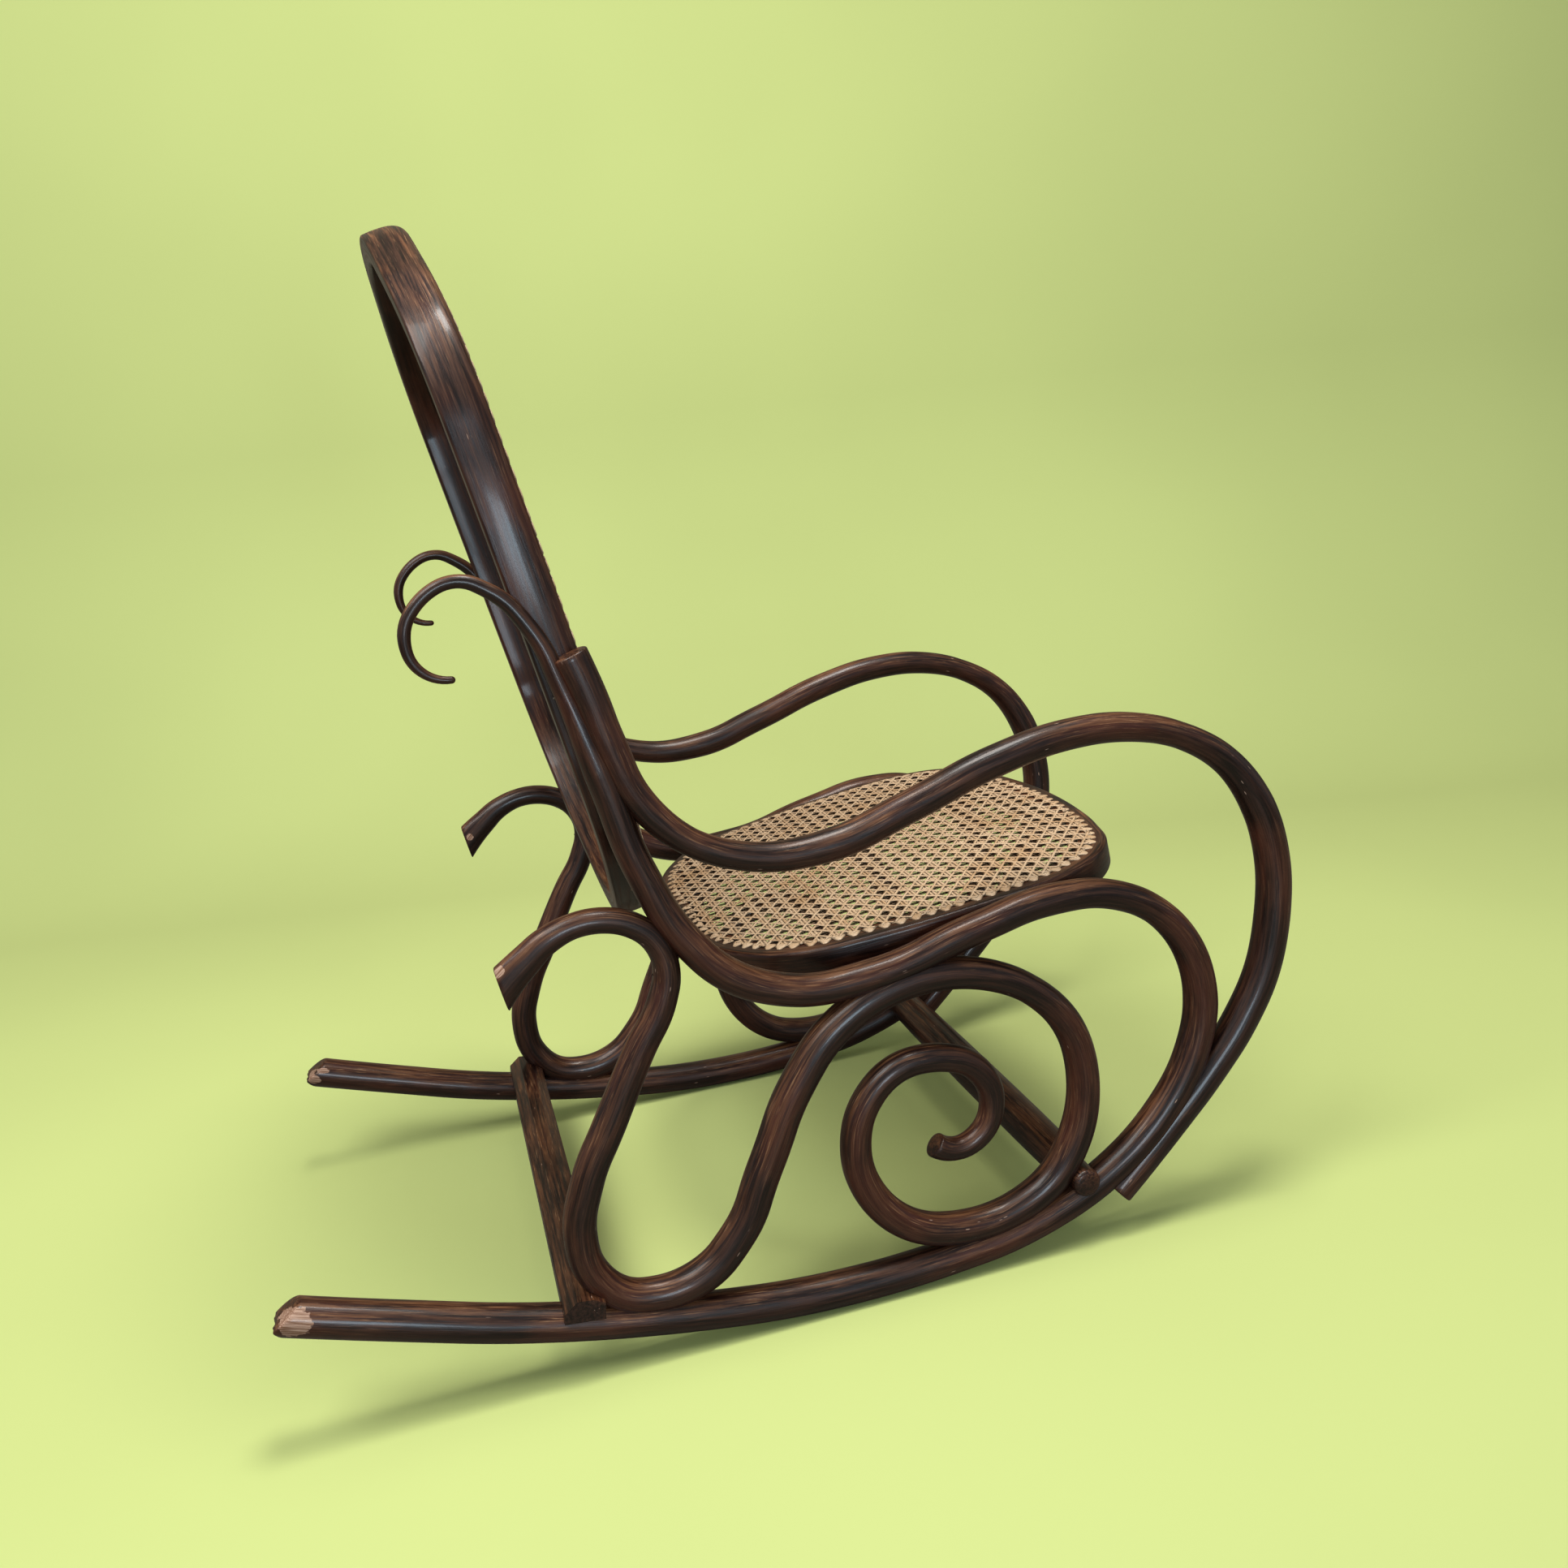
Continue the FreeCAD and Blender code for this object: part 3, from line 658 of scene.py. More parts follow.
    @staticmethod
    def join_rings(draft: MeshDraft, last: list[int], following: list[int], outward: float) -> None:
        """Join a ring to the next one outwards, with faces that look outwards.

        Args:
            draft: The mesh being made.
            last: The ring that is there.
            following: The next ring.
            outward: 1 at the rod's end and -1 at its start.
        """
        if outward > 0:
            draft.bridge(following, last)
        else:
            draft.bridge(last, following)


# Node helpers
class NodeBench:
    """A material's node tree, with short calls for the nodes that the finishes need."""

    def __init__(self, name: str) -> None:
        """Start a material with an empty Principled surface.

        Args:
            name: Name of the material.
        """
        self.material = bpy.data.materials.new(name)
        self.material.use_nodes = True
        self.tree = self.material.node_tree
        self.tree.nodes.clear()
        self.surface = self.tree.nodes.new("ShaderNodeBsdfPrincipled")
        output = self.tree.nodes.new("ShaderNodeOutputMaterial")
        self.link(self.surface.outputs["BSDF"], output.inputs["Surface"])

    def link(self, source: Socket, target: Socket) -> None:
        """Join two sockets.

        Args:
            source: The output socket.
            target: The input socket.
        """
        self.tree.links.new(source, target)

    def feed(self, target: Socket, value: object) -> None:
        """Give a socket a constant or a link.

        Args:
            target: The input socket.
            value: A number, a colour or an output socket.
        """
        if isinstance(value, Socket):
            self.link(value, target)
        elif isinstance(value, tuple) and len(value) == 3 and target.type == "RGBA":
            target.default_value = (*value, 1.0)
        else:
            target.default_value = value

    def attribute(self, name: str, output: str = "Vector") -> Socket:
        """Return a mesh attribute.

        Args:
            name: Name of the attribute.
            output: The node's output to take it from.

        Returns:
            The attribute.
        """
        node = self.tree.nodes.new("ShaderNodeAttribute")
        node.attribute_name = name
        return node.outputs[output]

    def object_place(self, swap: bool = False) -> Socket:
        """Return object coordinates.

        Args:
            swap: Whether Y and Z change places.

        Returns:
            The coordinates.
        """
        place = self.tree.nodes.new("ShaderNodeTexCoord").outputs["Object"]
        if not swap:
            return place
        apart = self.tree.nodes.new("ShaderNodeSeparateXYZ")
        self.link(place, apart.inputs[0])
        joined = self.tree.nodes.new("ShaderNodeCombineXYZ")
        for source, target in (("X", "X"), ("Z", "Y"), ("Y", "Z")):
            self.link(apart.outputs[source], joined.inputs[target])
        return joined.outputs[0]

    def scaled(self, vector: Socket, scale: Triple) -> Socket:
        """Return a vector scaled on each axis.

        Args:
            vector: The vector.
            scale: Its three factors.

        Returns:
            The scaled vector.
        """
        node = self.tree.nodes.new("ShaderNodeMapping")
        self.link(vector, node.inputs["Vector"])
        node.inputs["Scale"].default_value = scale
        return node.outputs["Vector"]

    def noise(
        self,
        vector: Socket,
        scale: float,
        detail: float = 4.0,
        rough: float = 0.55,
    ) -> Socket:
        """Return a noise value.

        Args:
            vector: Where the noise is read.
            scale: How fine the noise is.
            detail: How many finer layers it has.
            rough: How strong the finer layers are.

        Returns:
            A value round a half.
        """
        node = self.tree.nodes.new("ShaderNodeTexNoise")
        self.link(vector, node.inputs["Vector"])
        node.inputs["Scale"].default_value = scale
        node.inputs["Detail"].default_value = detail
        node.inputs["Roughness"].default_value = rough
        return node.outputs["Fac"]

    def cells(self, vector: Socket, scale: float) -> Socket:
        """Return the distance to the nearest of many scattered points.

        Args:
            vector: Where the distance is read.
            scale: How close together the points are.

        Returns:
            The distance.
        """
        node = self.tree.nodes.new("ShaderNodeTexVoronoi")
        self.link(vector, node.inputs["Vector"])
        node.inputs["Scale"].default_value = scale
        return node.outputs["Distance"]

    def ranged(
        self,
        value: Socket,
        low: float,
        high: float,
        to_low: float = 0.0,
        to_high: float = 1.0,
    ) -> Socket:
        """Return a value moved smoothly from one range to another.

        Args:
            value: The value.
            low: Where the first range starts.
            high: Where it ends.
            to_low: Where the second range starts.
            to_high: Where it ends.

        Returns:
            The moved value.
        """
        node = self.tree.nodes.new("ShaderNodeMapRange")
        node.interpolation_type = "SMOOTHSTEP"
        self.link(value, node.inputs["Value"])
        ends = {"From Min": low, "From Max": high, "To Min": to_low, "To Max": to_high}
        for name, number in ends.items():
            node.inputs[name].default_value = number
        return node.outputs["Result"]

    def maths(self, operation: str, first: object, second: object) -> Socket:
        """Return a sum, product or other function of two values.

        Args:
            operation: The function.
            first: A number or an output socket.
            second: A number or an output socket.

        Returns:
            The result.
        """
        node = self.tree.nodes.new("ShaderNodeMath")
        node.operation = operation
        self.feed(node.inputs[0], first)
        self.feed(node.inputs[1], second)
        return node.outputs[0]

    def mixed(self, share: object, first: object, second: object) -> Socket:
        """Return a mix of two colours.

        Args:
            share: How much of the second colour there is.
            first: A colour or an output socket.
            second: A colour or an output socket.

        Returns:
            The mixed colour.
        """
        node = self.tree.nodes.new("ShaderNodeMix")
        node.data_type = "RGBA"
        self.feed(node.inputs[0], share)
        self.feed(node.inputs[MIX_FIRST], first)
        self.feed(node.inputs[MIX_SECOND], second)
        return node.outputs[MIX_RESULT]

    def openness(self, distance: float) -> Socket:
        """Return how open the surroundings of the surface are, to find its crevices.

        Args:
            distance: Reach of the look around, in metres.

        Returns:
            A value that is 0 in a crevice and 1 in the open.
        """
        node = self.tree.nodes.new("ShaderNodeAmbientOcclusion")
        node.samples = 6
        node.inputs["Distance"].default_value = distance
        return node.outputs["AO"]

    def facing_up(self) -> Socket:
        """Return the upward part of the surface normal."""
        geometry = self.tree.nodes.new("ShaderNodeNewGeometry")
        apart = self.tree.nodes.new("ShaderNodeSeparateXYZ")
        self.link(geometry.outputs["Normal"], apart.inputs[0])
        return apart.outputs["Z"]

    def bump(self, height: Socket, strength: float, distance: float) -> None:
        """Give the surface a bump.

        Args:
            height: The height field.
            strength: Strength of the bump.
            distance: Height of a full step, in metres.
        """
        node = self.tree.nodes.new("ShaderNodeBump")
        node.inputs["Strength"].default_value = strength
        node.inputs["Distance"].default_value = distance
        self.link(height, node.inputs["Height"])
        self.link(node.outputs["Normal"], self.surface.inputs["Normal"])


# Finishes
@dataclass(frozen=True)
class VarnishedWood:
    """Dark reddish-brown stained beech under old varnish, golden on top from wear and painted
    light.
    """

    name: str = "varnished_beech"
    path: GrainPath = GrainPath.BENT
    deep: Colour = (0.0065, 0.0022, 0.0016)
    stain: Colour = (0.026, 0.0080, 0.0050)
    red: Colour = (0.064, 0.0165, 0.0090)
    # Golden tone of the upper sides: it stands for wear and also paints light falling from above
    worn_and_lit: Colour = (0.158, 0.0640, 0.0260)
    pale: Colour = (0.380, 0.205, 0.100)
    bare_wood: Colour = (0.520, 0.340, 0.250)

    def material(self) -> bpy.types.Material:
        """Return the finish as a material."""
        bench = NodeBench(self.name)
        bent = self.path is GrainPath.BENT
        place = bench.attribute("straight") if bent else bench.object_place(swap=True)
        fibres = bench.noise(bench.scaled(place, (1.0, 1.0, 0.035)), 1000.0, 5.0, 0.6)
        streaks = bench.noise(bench.scaled(place, (1.0, 1.0, 0.045)), 330.0, 4.0, 0.6)
        clouds = bench.noise(bench.scaled(place, (1.0, 1.0, 0.30)), 34.0, 3.0, 0.5)
        colour = bench.mixed(bench.ranged(streaks, 0.32, 0.68), self.deep, self.stain)
        colour = bench.mixed(bench.ranged(clouds, 0.42, 0.70, 0.0, 0.8), colour, self.red)
        # Upward faces turn golden and their fibres pale: part wear, part painted light from above
        # that leaves the undersides dark
        upward = bench.ranged(bench.facing_up(), -0.25, 0.90, 0.12, 1.0)
        rubbed_and_lit = bench.maths("MULTIPLY", upward, bench.ranged(clouds, 0.34, 0.60, 0.20, 1.0))
        worn_and_lit = bench.maths("MULTIPLY", rubbed_and_lit, bench.ranged(streaks, 0.40, 0.66))
        colour = bench.mixed(worn_and_lit, colour, self.worn_and_lit)
        thin = bench.maths("MULTIPLY", rubbed_and_lit, bench.ranged(fibres, 0.56, 0.72, 0.0, 0.85))
        colour = bench.mixed(thin, colour, self.pale)
        colour = bench.mixed(bench.ranged(fibres, 0.32, 0.52, 0.5, 0.0), colour, self.deep)
        scattered = bench.cells(bench.scaled(place, (1.0, 1.0, 0.16)), 210.0)
        nicks = bench.ranged(scattered, 0.05, 0.10, 1.0, 0.0)
        patches = bench.noise(bench.scaled(place, (1.0, 1.0, 0.5)), 21.0, 2.0)
        nicks = bench.maths("MULTIPLY", nicks, bench.ranged(patches, 0.57, 0.66))
        colour = bench.mixed(bench.maths("MULTIPLY", nicks, 0.75), colour, self.bare_wood)
        matt = nicks
        if bent:
            ragged = bench.noise(bench.scaled(place, (1.0, 1.0, 0.6)), 150.0, 4.0, 0.65)
            broken = bench.maths("ADD", bench.attribute("tint", "Fac"), ragged)
            chipped = bench.ranged(broken, 1.04, 1.10)
            grey = bench.mixed(bench.ranged(fibres, 0.35, 0.65), self.worn_and_lit, self.bare_wood)
            colour = bench.mixed(chipped, colour, grey)
            matt = bench.maths("MAXIMUM", chipped, nicks)
        bench.link(colour, bench.surface.inputs["Base Color"])
        rough = bench.ranged(streaks, 0.3, 0.75, 0.30, 0.48)
        rough = bench.maths("ADD", rough, bench.maths("MULTIPLY", matt, 0.3))
        bench.link(rough, bench.surface.inputs["Roughness"])
        bench.surface.inputs["Specular IOR Level"].default_value = 0.30
        bench.surface.inputs["Coat Weight"].default_value = 0.20
        bench.surface.inputs["Coat Roughness"].default_value = 0.13
        height = bench.maths("ADD", fibres, bench.maths("MULTIPLY", streaks, 0.9))
        height = bench.maths("SUBTRACT", height, matt)
        bench.bump(height, 0.45, 0.00045)
        return bench.material


@dataclass(frozen=True)
class NaturalCane:
    """Pale split cane with golden and brown stains, fine fibres along each strand and painted shade
    in its crevices.
    """

    name: str = "natural_cane"
    pale: Colour = (0.68, 0.49, 0.315)
    honey: Colour = (0.50, 0.29, 0.135)
    stain: Colour = (0.24, 0.115, 0.050)
    # Dark brown of the painted shade in the crevices
    dirt: Colour = (0.075, 0.040, 0.018)

    def material(self) -> bpy.types.Material:
        """Return the finish as a material."""
        bench = NodeBench(self.name)
        place = bench.attribute("straight")
        strand = bench.attribute("tint", "Fac")
        fibres = bench.noise(bench.scaled(place, (1.0, 1.0, 0.05)), 1400.0, 4.0, 0.6)
        blotches = bench.noise(bench.object_place(), 16.0, 4.0, 0.55)
        spots = bench.noise(bench.object_place(), 60.0, 3.0, 0.6)
        colour = bench.mixed(bench.ranged(strand, 0.0, 1.0, 0.0, 0.55), self.pale, self.honey)
        colour = bench.mixed(bench.ranged(blotches, 0.50, 0.74, 0.0, 0.75), colour, self.honey)
        colour = bench.mixed(bench.ranged(spots, 0.62, 0.78, 0.0, 0.7), colour, self.stain)
        colour = bench.mixed(bench.ranged(fibres, 0.30, 0.55, 0.35, 0.0), colour, self.honey)
        # Painted shade: crevices and the walls of the holes darken where the surroundings close in
        crevices = bench.ranged(bench.openness(0.004), 0.10, 0.70, 0.80, 0.0)
        colour = bench.mixed(crevices, colour, self.dirt)
        bench.link(colour, bench.surface.inputs["Base Color"])
        bench.link(bench.ranged(fibres, 0.3, 0.7, 0.38, 0.52), bench.surface.inputs["Roughness"])
        bench.bump(fibres, 0.3, 0.0001)
        return bench.material


@dataclass(frozen=True)
class AgedSteel:
    """Dull dark steel of old slotted screws."""

    name: str = "aged_steel"
    clean: Colour = (0.24, 0.20, 0.16)
    tarnish: Colour = (0.055, 0.040, 0.032)

    def material(self) -> bpy.types.Material:
        """Return the finish as a material."""
        bench = NodeBench(self.name)
        place = bench.object_place()
        tarnish = bench.noise(place, 500.0, 5.0, 0.6)
        turning = bench.noise(bench.scaled(place, (1.0, 1.0, 6.0)), 900.0, 2.0, 0.5)
        colour = bench.mixed(bench.ranged(tarnish, 0.4, 0.65), self.clean, self.tarnish)
        bench.link(colour, bench.surface.inputs["Base Color"])
        bench.link(bench.ranged(tarnish, 0.35, 0.7, 0.32, 0.62), bench.surface.inputs["Roughness"])
        bench.surface.inputs["Metallic"].default_value = 1.0
        bench.bump(turning, 0.2, 0.00008)
        return bench.material


# Side frames
@dataclass
class SideFrame:
    """Runner, arm and scroll support of one side of the chair."""

    side: Side
    wood: bpy.types.Material
    rocker: Sequence[Point] = (
        (-460, 80), (-364, 58), (-256, 36), (-126, 21), (15, 18),
        (128, 31), (227, 55), (298, 91), (355, 143),
    )
    loop: Sequence[Point] = ((391, 207), (399, 264), (382, 319), (341, 362))
    rail: Sequence[Point] = (
        (289, 381), (230, 379), (160, 358), (68, 325), (-9, 317),
        (-67, 336), (-112.5, 380), (-144, 436), (-176, 521), (-202, 587),
    )
    scroll: Sequence[Point] = (
        (-225, 636), (-254, 667), (-283, 677), (-310, 663), (-323, 636), (-314, 610), (-289, 601),
    )
    arm: Sequence[Point] = (
        (-197, 617), (-184, 587), (-168.5, 545), (-147, 500), (-100, 457), (-40, 440), (25, 447),
        (95, 476), (169, 510), (236, 531), (297, 537), (357, 527), (409, 500), (447, 455),
        (468, 398), (472, 342), (465, 289), (443, 237), (412, 190), (372, 140), (319, 79),
    )
    support: Sequence[Point] = (
        (-262, 343), (-244, 363), (-222, 383), (-202, 392.5), (-178, 395.5), (-156, 391),
        (-138.5, 380), (-126, 360), (-123.5, 340), (-128, 319), (-150, 273), (-174, 216),
        (-196, 162), (-204, 116), (-194, 75), (-167, 49), (-131, 44), (-91, 58), (-61, 92),
        (-36, 155), (-9, 225), (22, 272), (66, 304), (115, 318), (166, 315), (215, 296),
        (256, 258), (276, 202), (273, 148), (250, 102), (208, 73), (157, 63), (106, 73),
        (67, 107), (49, 154), (57, 201), (85, 231), (126, 238), (162, 226), (182, 194),
        (173, 158), (148, 145), (127, 151),
    )
    runner_breaks: Sequence[Break] = (
        Break(0, 17.0), Break(10, 16.6), Break(11, 15.4), Break(12, 13.8), Break(13, 14.2),
        Break(14, 15.0), Break(18, 15.0), Break(21, 13.2), Break(22, 8.8), Break(23, 7.4),
        Break(25, 5.5), Break(27, 5.2), Break(29, 3.0),
    )
    arm_breaks: Sequence[Break] = (
        Break(0, 15.6), Break(2, 15.2), Break(4, 12.2), Break(5, 13.2), Break(6, 14.9),
        Break(8, 15.0), Break(10, 13.8), Break(11, 12.6), Break(12, 13.8), Break(13, 16.0),
        Break(15, 17.2), Break(20, 17.0),
    )
    support_breaks: Sequence[Break] = (
        Break(0, 12.5), Break(3, 11.0), Break(7, 11.6), Break(9, 13.2), Break(11, 14.8),
        Break(15, 15.0), Break(17, 16.4), Break(20, 16.6), Break(23, 16.0), Break(25, 13.8),
        Break(27, 15.8), Break(28, 16.4), Break(31, 16.0), Break(35, 14.2), Break(41, 11.2),
        Break(42, 12.0),
    )
    runner_chips: dict[Side, Sequence[Chip]] = field(default_factory=lambda: {
        Side.RIGHT: (Chip(-78, 20, 16, 15), Chip(-40, 12, 6, 8)),
        Side.LEFT: (Chip(-100, 12, 7, 8), Chip(-60, 20, 4, 9)),
    })
    tail_chips: dict[Side, Sequence[Chip]] = field(default_factory=lambda: {
        Side.RIGHT: (Chip(-35, 12, 5, 7), Chip(10, 22, 3, 6)),
        Side.LEFT: (Chip(-80, 9, 4, 5),),
    })
    seeds: dict[Side, int] = field(default_factory=lambda: {Side.RIGHT: 10, Side.LEFT: 40})
    splay: float = 0.32

    def build(self) -> None:
        """Make the three bent rods of this side and let them stand for their nodes."""
        side, seed = self.side, self.seeds[self.side]
        runner_line = CentreLine([*self.rocker, *self.loop, *self.rail, *self.scroll])
        runner = BentRod("runner", runner_line, self.runner_breaks, side, seed=seed)
        runner.start, runner.end = EndShape.SLANTED, EndShape.DOMED
        runner.chips = self.runner_chips[side]
        arm = BentRod("arm", CentreLine(self.arm), self.arm_breaks, side, seed=seed + 1)
        support_line = CentreLine(self.support)
        support = BentRod("scroll_support", support_line, self.support_breaks, side, seed=seed + 2)
        support.start, support.splay = EndShape.OBLIQUE, self.splay
        support.chips = self.tail_chips[side]
        for rod in (runner, arm, support):
            node = f"{side.word}_{rod.name}"
            made = rod.draft().piece(f"bent_{node}", self.wood, "varnished_wood")
            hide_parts(node)


# Flat bent frames and their cane
@dataclass
class FramePlane:
    """The plane of a flat bent frame: its origin, its lengthwise axis and its face."""

    origin: Vector
    along: Vector
    face: Vector

    def place(self, along: float, across: float, height: float) -> Vector:
        """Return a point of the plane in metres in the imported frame.

        Args:
            along: Distance along the lengthwise axis.
            across: Distance along Y.
            height: Distance above the plane.

        Returns:
            The point in metres.
        """
        point = self.origin + self.along * along + Vector((0.0, across, 0.0)) + self.face * height
        return at_rest(point)


@dataclass
class BentRing:
    """A closed bent band with rounded long edges, such as the hoop or the seat frame."""

    name: str
    node: str
    plane: FramePlane
    outline: CentreLine
    thickness: float
    low: float = 0.0
    high: float = 30.0
    outer_round: float = 5.0
    inner_round: float = 1.5
    crowned: bool = False
    crown_power: float = 2.6
    crown_steps: int = 8
    arris: float = 2.6
    lean: float = 1.3
    round_steps: int = 6
    seed: int = 5

    def profile(self) -> list[Point]:
        """Return the band's section as (inset from the outline, height) pairs."""
        outer, inner = self.outer_round, self.inner_round
        inner_centre = self.thickness - inner
        corners = (
            (outer, self.low + outer, outer, math.pi),
            (inner_centre, self.low + inner, inner, 1.5 * math.pi),
            (inner_centre, self.high - inner, inner, 0.0),
            (outer, self.high - outer, outer, 0.5 * math.pi),
        )
        section: list[Point] = []
        for inset, height, radius, start in corners:
            for number in range(self.round_steps + 1):
                angle = start + 0.5 * math.pi * number / self.round_steps
                spot = (inset + radius * math.cos(angle), height + radius * math.sin(angle))
                section.append(spot)
        if not self.crowned:
            return section
        corner = self.round_steps + 1
        return section[corner:3 * corner] + self.crowned_side()

    def crowned_side(self) -> list[Point]:
        """Return the outer side of a crowned band, down to its sharp lower arris.

        Returns:
            Pairs of inset and height.
        """
        middle, half = 0.5 * (self.low + self.high), 0.5 * (self.high - self.low)
        side: list[Point] = []
        for number in range(self.crown_steps + 1):
            height = math.cos(0.5 * math.pi * number / self.crown_steps)
            fall = math.sqrt(max(0.0, 1.0 - height**self.crown_power))
            side.append((self.outer_round * (1.0 - fall), middle + half * height))
        # Half-way down the lower half, the side has begun to lean in
        side.append((0.3 * self.lean, middle - 0.5 * half))
        for number in range(self.round_steps + 1):
            angle = 0.5 * math.pi * number / self.round_steps
            inset = self.lean + self.arris * (1.0 - math.cos(angle))
            side.append((inset, self.low + self.arris * (1.0 - math.sin(angle))))
        return side

    def build(self, wood: bpy.types.Material) -> None:
        """Make the band and let it stand for its node.

        Args:
            wood: The finish of the band.
        """
        draft = MeshDraft()
        section = self.profile()
        shift = random.Random(self.seed).uniform(0.0, GRAIN_SPREAD)
        layers = [self.outline.inset(inset) for inset, _ in section]
        rings: list[list[int]] = []
        for index, length in enumerate(self.outline.lengths):
            ring = []
            for (inset, height), layer in zip(section, layers):
                point = layer[index]
                straight = Vector((inset, height, length)) * MM
                straight.z += shift
                ring.append(draft.add(self.plane.place(point.x, point.y, height), straight))
            rings.append(ring)
        for index, ring in enumerate(rings):
            draft.bridge(ring, rings[(index + 1) % len(rings)])
        made = draft.piece(self.name, wood, "varnished_wood")
        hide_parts(self.node)


def polygon_spans(polygon: Sequence[Vector], start: Vector, heading: Vector) -> list[Span]:
    """Return where a line runs inside a closed polygon.

    Args:
        polygon: Corners of the polygon.
        start: A point of the line.
        heading: Direction of the line, of length one.

    Returns:
        Pairs of distances from start between which the line is inside.
    """
    across = Vector((-heading.y, heading.x))
    hits: list[float] = []
    for index, corner in enumerate(polygon):
        following = polygon[(index + 1) % len(polygon)]
        first = (corner - start).dot(across)
        second = (following - start).dot(across)
        if (first > 0.0) != (second > 0.0):
            share = first / (first - second)
            hits.append(((corner + (following - corner) * share) - start).dot(heading))
    hits.sort()
    return list(zip(hits[::2], hits[1::2]))


@dataclass(frozen=True)
class StrandRun:
    """One direction of strands in the six-way weave."""

    heading: Point
    spacing: float
    offset: float
    width: float
    pair_gap: float
    level: float
    wave: float
    phase: float
    below: bool = False


@dataclass
class CanePanel:
    """A hand-woven six-way cane panel, strand by strand, with its tongues at the rim."""

    name: str
    node: str
    plane: FramePlane
    outline: CentreLine
    surface: float
    field_inset: float = 15.0
    hole_inset: float = 9.5
    opening_inset: float = 29.0
    pitch: Point = (15.2, 18.2)
    tongue_pitch: float = 15.2
    tongue_overlap: float = 3.5
    tongue_stretch: Point = (-0.06, 0.10)
    tongue_length: float = 8.0
    thickness: float = 1.1
    lift: float = 0.15
    play: float = 0.12
    strand_step: float = 3.9
    fibre_shift: float = 0.01
    seed: int = 3

    def runs(self) -> list[StrandRun]:
        """Return the pairs along and across and the two diagonals."""
        along, across = self.pitch
        slope = Vector(self.pitch).normalized()
        close = along * across / math.hypot(along, across)
        return [
            StrandRun((1.0, 0.0), across, 0.0, 3.1, 1.60, 0.40, 0.25, 0.0),
            StrandRun((0.0, 1.0), along, 0.0, 3.4, 1.76, 0.80, 0.25, 0.5),
            StrandRun((slope.x, slope.y), close, 0.5, 3.4, 0.0, 1.25, 0.30, 0.25),
            StrandRun((slope.x, -slope.y), close, 0.5, 3.4, 0.0, 1.45, 0.30, 0.75),
            StrandRun((0.0, 1.0), along, 0.0, 3.4, 1.76, -1.00, 0.20, 0.0, True),
            StrandRun((1.0, 0.0), across, 0.0, 3.1, 1.60, -2.20, 0.20, 0.5, True),
        ]

    def build(self, cane: bpy.types.Material) -> None:
        """Make the panel and let it stand for its node.

        Args:
            cane: The finish of the strands.
        """
        draft = MeshDraft()
        rng = random.Random(self.seed)
        rim = self.outline.inset(self.field_inset)
        opening = self.outline.inset(self.opening_inset)
        for run in self.runs():
            self.lay_run(draft, run, opening if run.below else rim, rng)
        self.lay_tongues(draft, rng)
        made = draft.piece(self.name, cane, "cane")
        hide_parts(self.node)

    def lay_run(
        self,
        draft: MeshDraft,
        run: StrandRun,
        rim: Sequence[Vector],
        rng: random.Random,
    ) -> None:
        """Lay all strands of one direction.

        Args:
            draft: The mesh being made.
            run: The direction and its levels.
            rim: The edge of the woven field.
            rng: Source of the strands' small differences.
        """
        heading = Vector(run.heading)
        across = Vector((-heading.y, heading.x))
        pairs = (0.0,) if run.pair_gap == 0.0 else (-run.pair_gap, run.pair_gap)
        reach = max(point.length for point in rim)
        count = int(reach / run.spacing) + 2
        for number in range(-count, count + 1):
            middle = (number + run.offset) * run.spacing
            for pair in pairs:
                start = across * (middle + pair + rng.uniform(-self.play, self.play))
                shade = rng.random() ** 2
                for low, high in polygon_spans(rim, start, heading):
                    if high - low > run.width:
                        self.lay_strand(draft, start, heading, low, high, run, shade, number)

    def lay_strand(
        self,
        draft: MeshDraft,
        start: Vector,
        heading: Vector,
        low: float,
        high: float,
        run: StrandRun,
        shade: float,
        number: int,
    ) -> None:
        """Lay one strand as a thin lens-shaped ribbon that waves over and under.

        Args:
            draft: The mesh being made.
            start: A point of the strand's line.
            heading: Direction of the strand.
            low: Where the strand begins, from start.
            high: Where it ends.
            run: The direction and its levels.
            shade: How honey-coloured the strand is.
            number: Number of the strand, which turns its wave.
        """
        across = Vector((-heading.y, heading.x))
        steps = max(2, math.ceil((high - low) / self.strand_step))
        half, crown = 0.5 * run.width, 0.5 * self.thickness
        section = ((-half, 0.0), (0.0, crown), (half, 0.0), (0.0, -crown))
        wave_length = math.hypot(*self.pitch) if run.pair_gap == 0.0 else sum(self.pitch)
        rings: list[list[int]] = []
        for step in range(steps + 1):
            run_length = low + (high - low) * step / steps
            turn = 2.0 * math.pi * (run_length / wave_length + run.phase + 0.5 * number)
            level = self.surface + self.lift + run.level + run.wave * math.sin(turn)
            point = start + heading * run_length
            ring = []
            for sideways, rise in section:
                spot = point + across * sideways
                place = self.plane.place(spot.x, spot.y, level + rise)
                straight = Vector((sideways, rise, run_length)) * MM
                straight.x += self.fibre_shift * number
                ring.append(draft.add(place, straight, shade))
            rings.append(ring)
        draft.loft(rings)

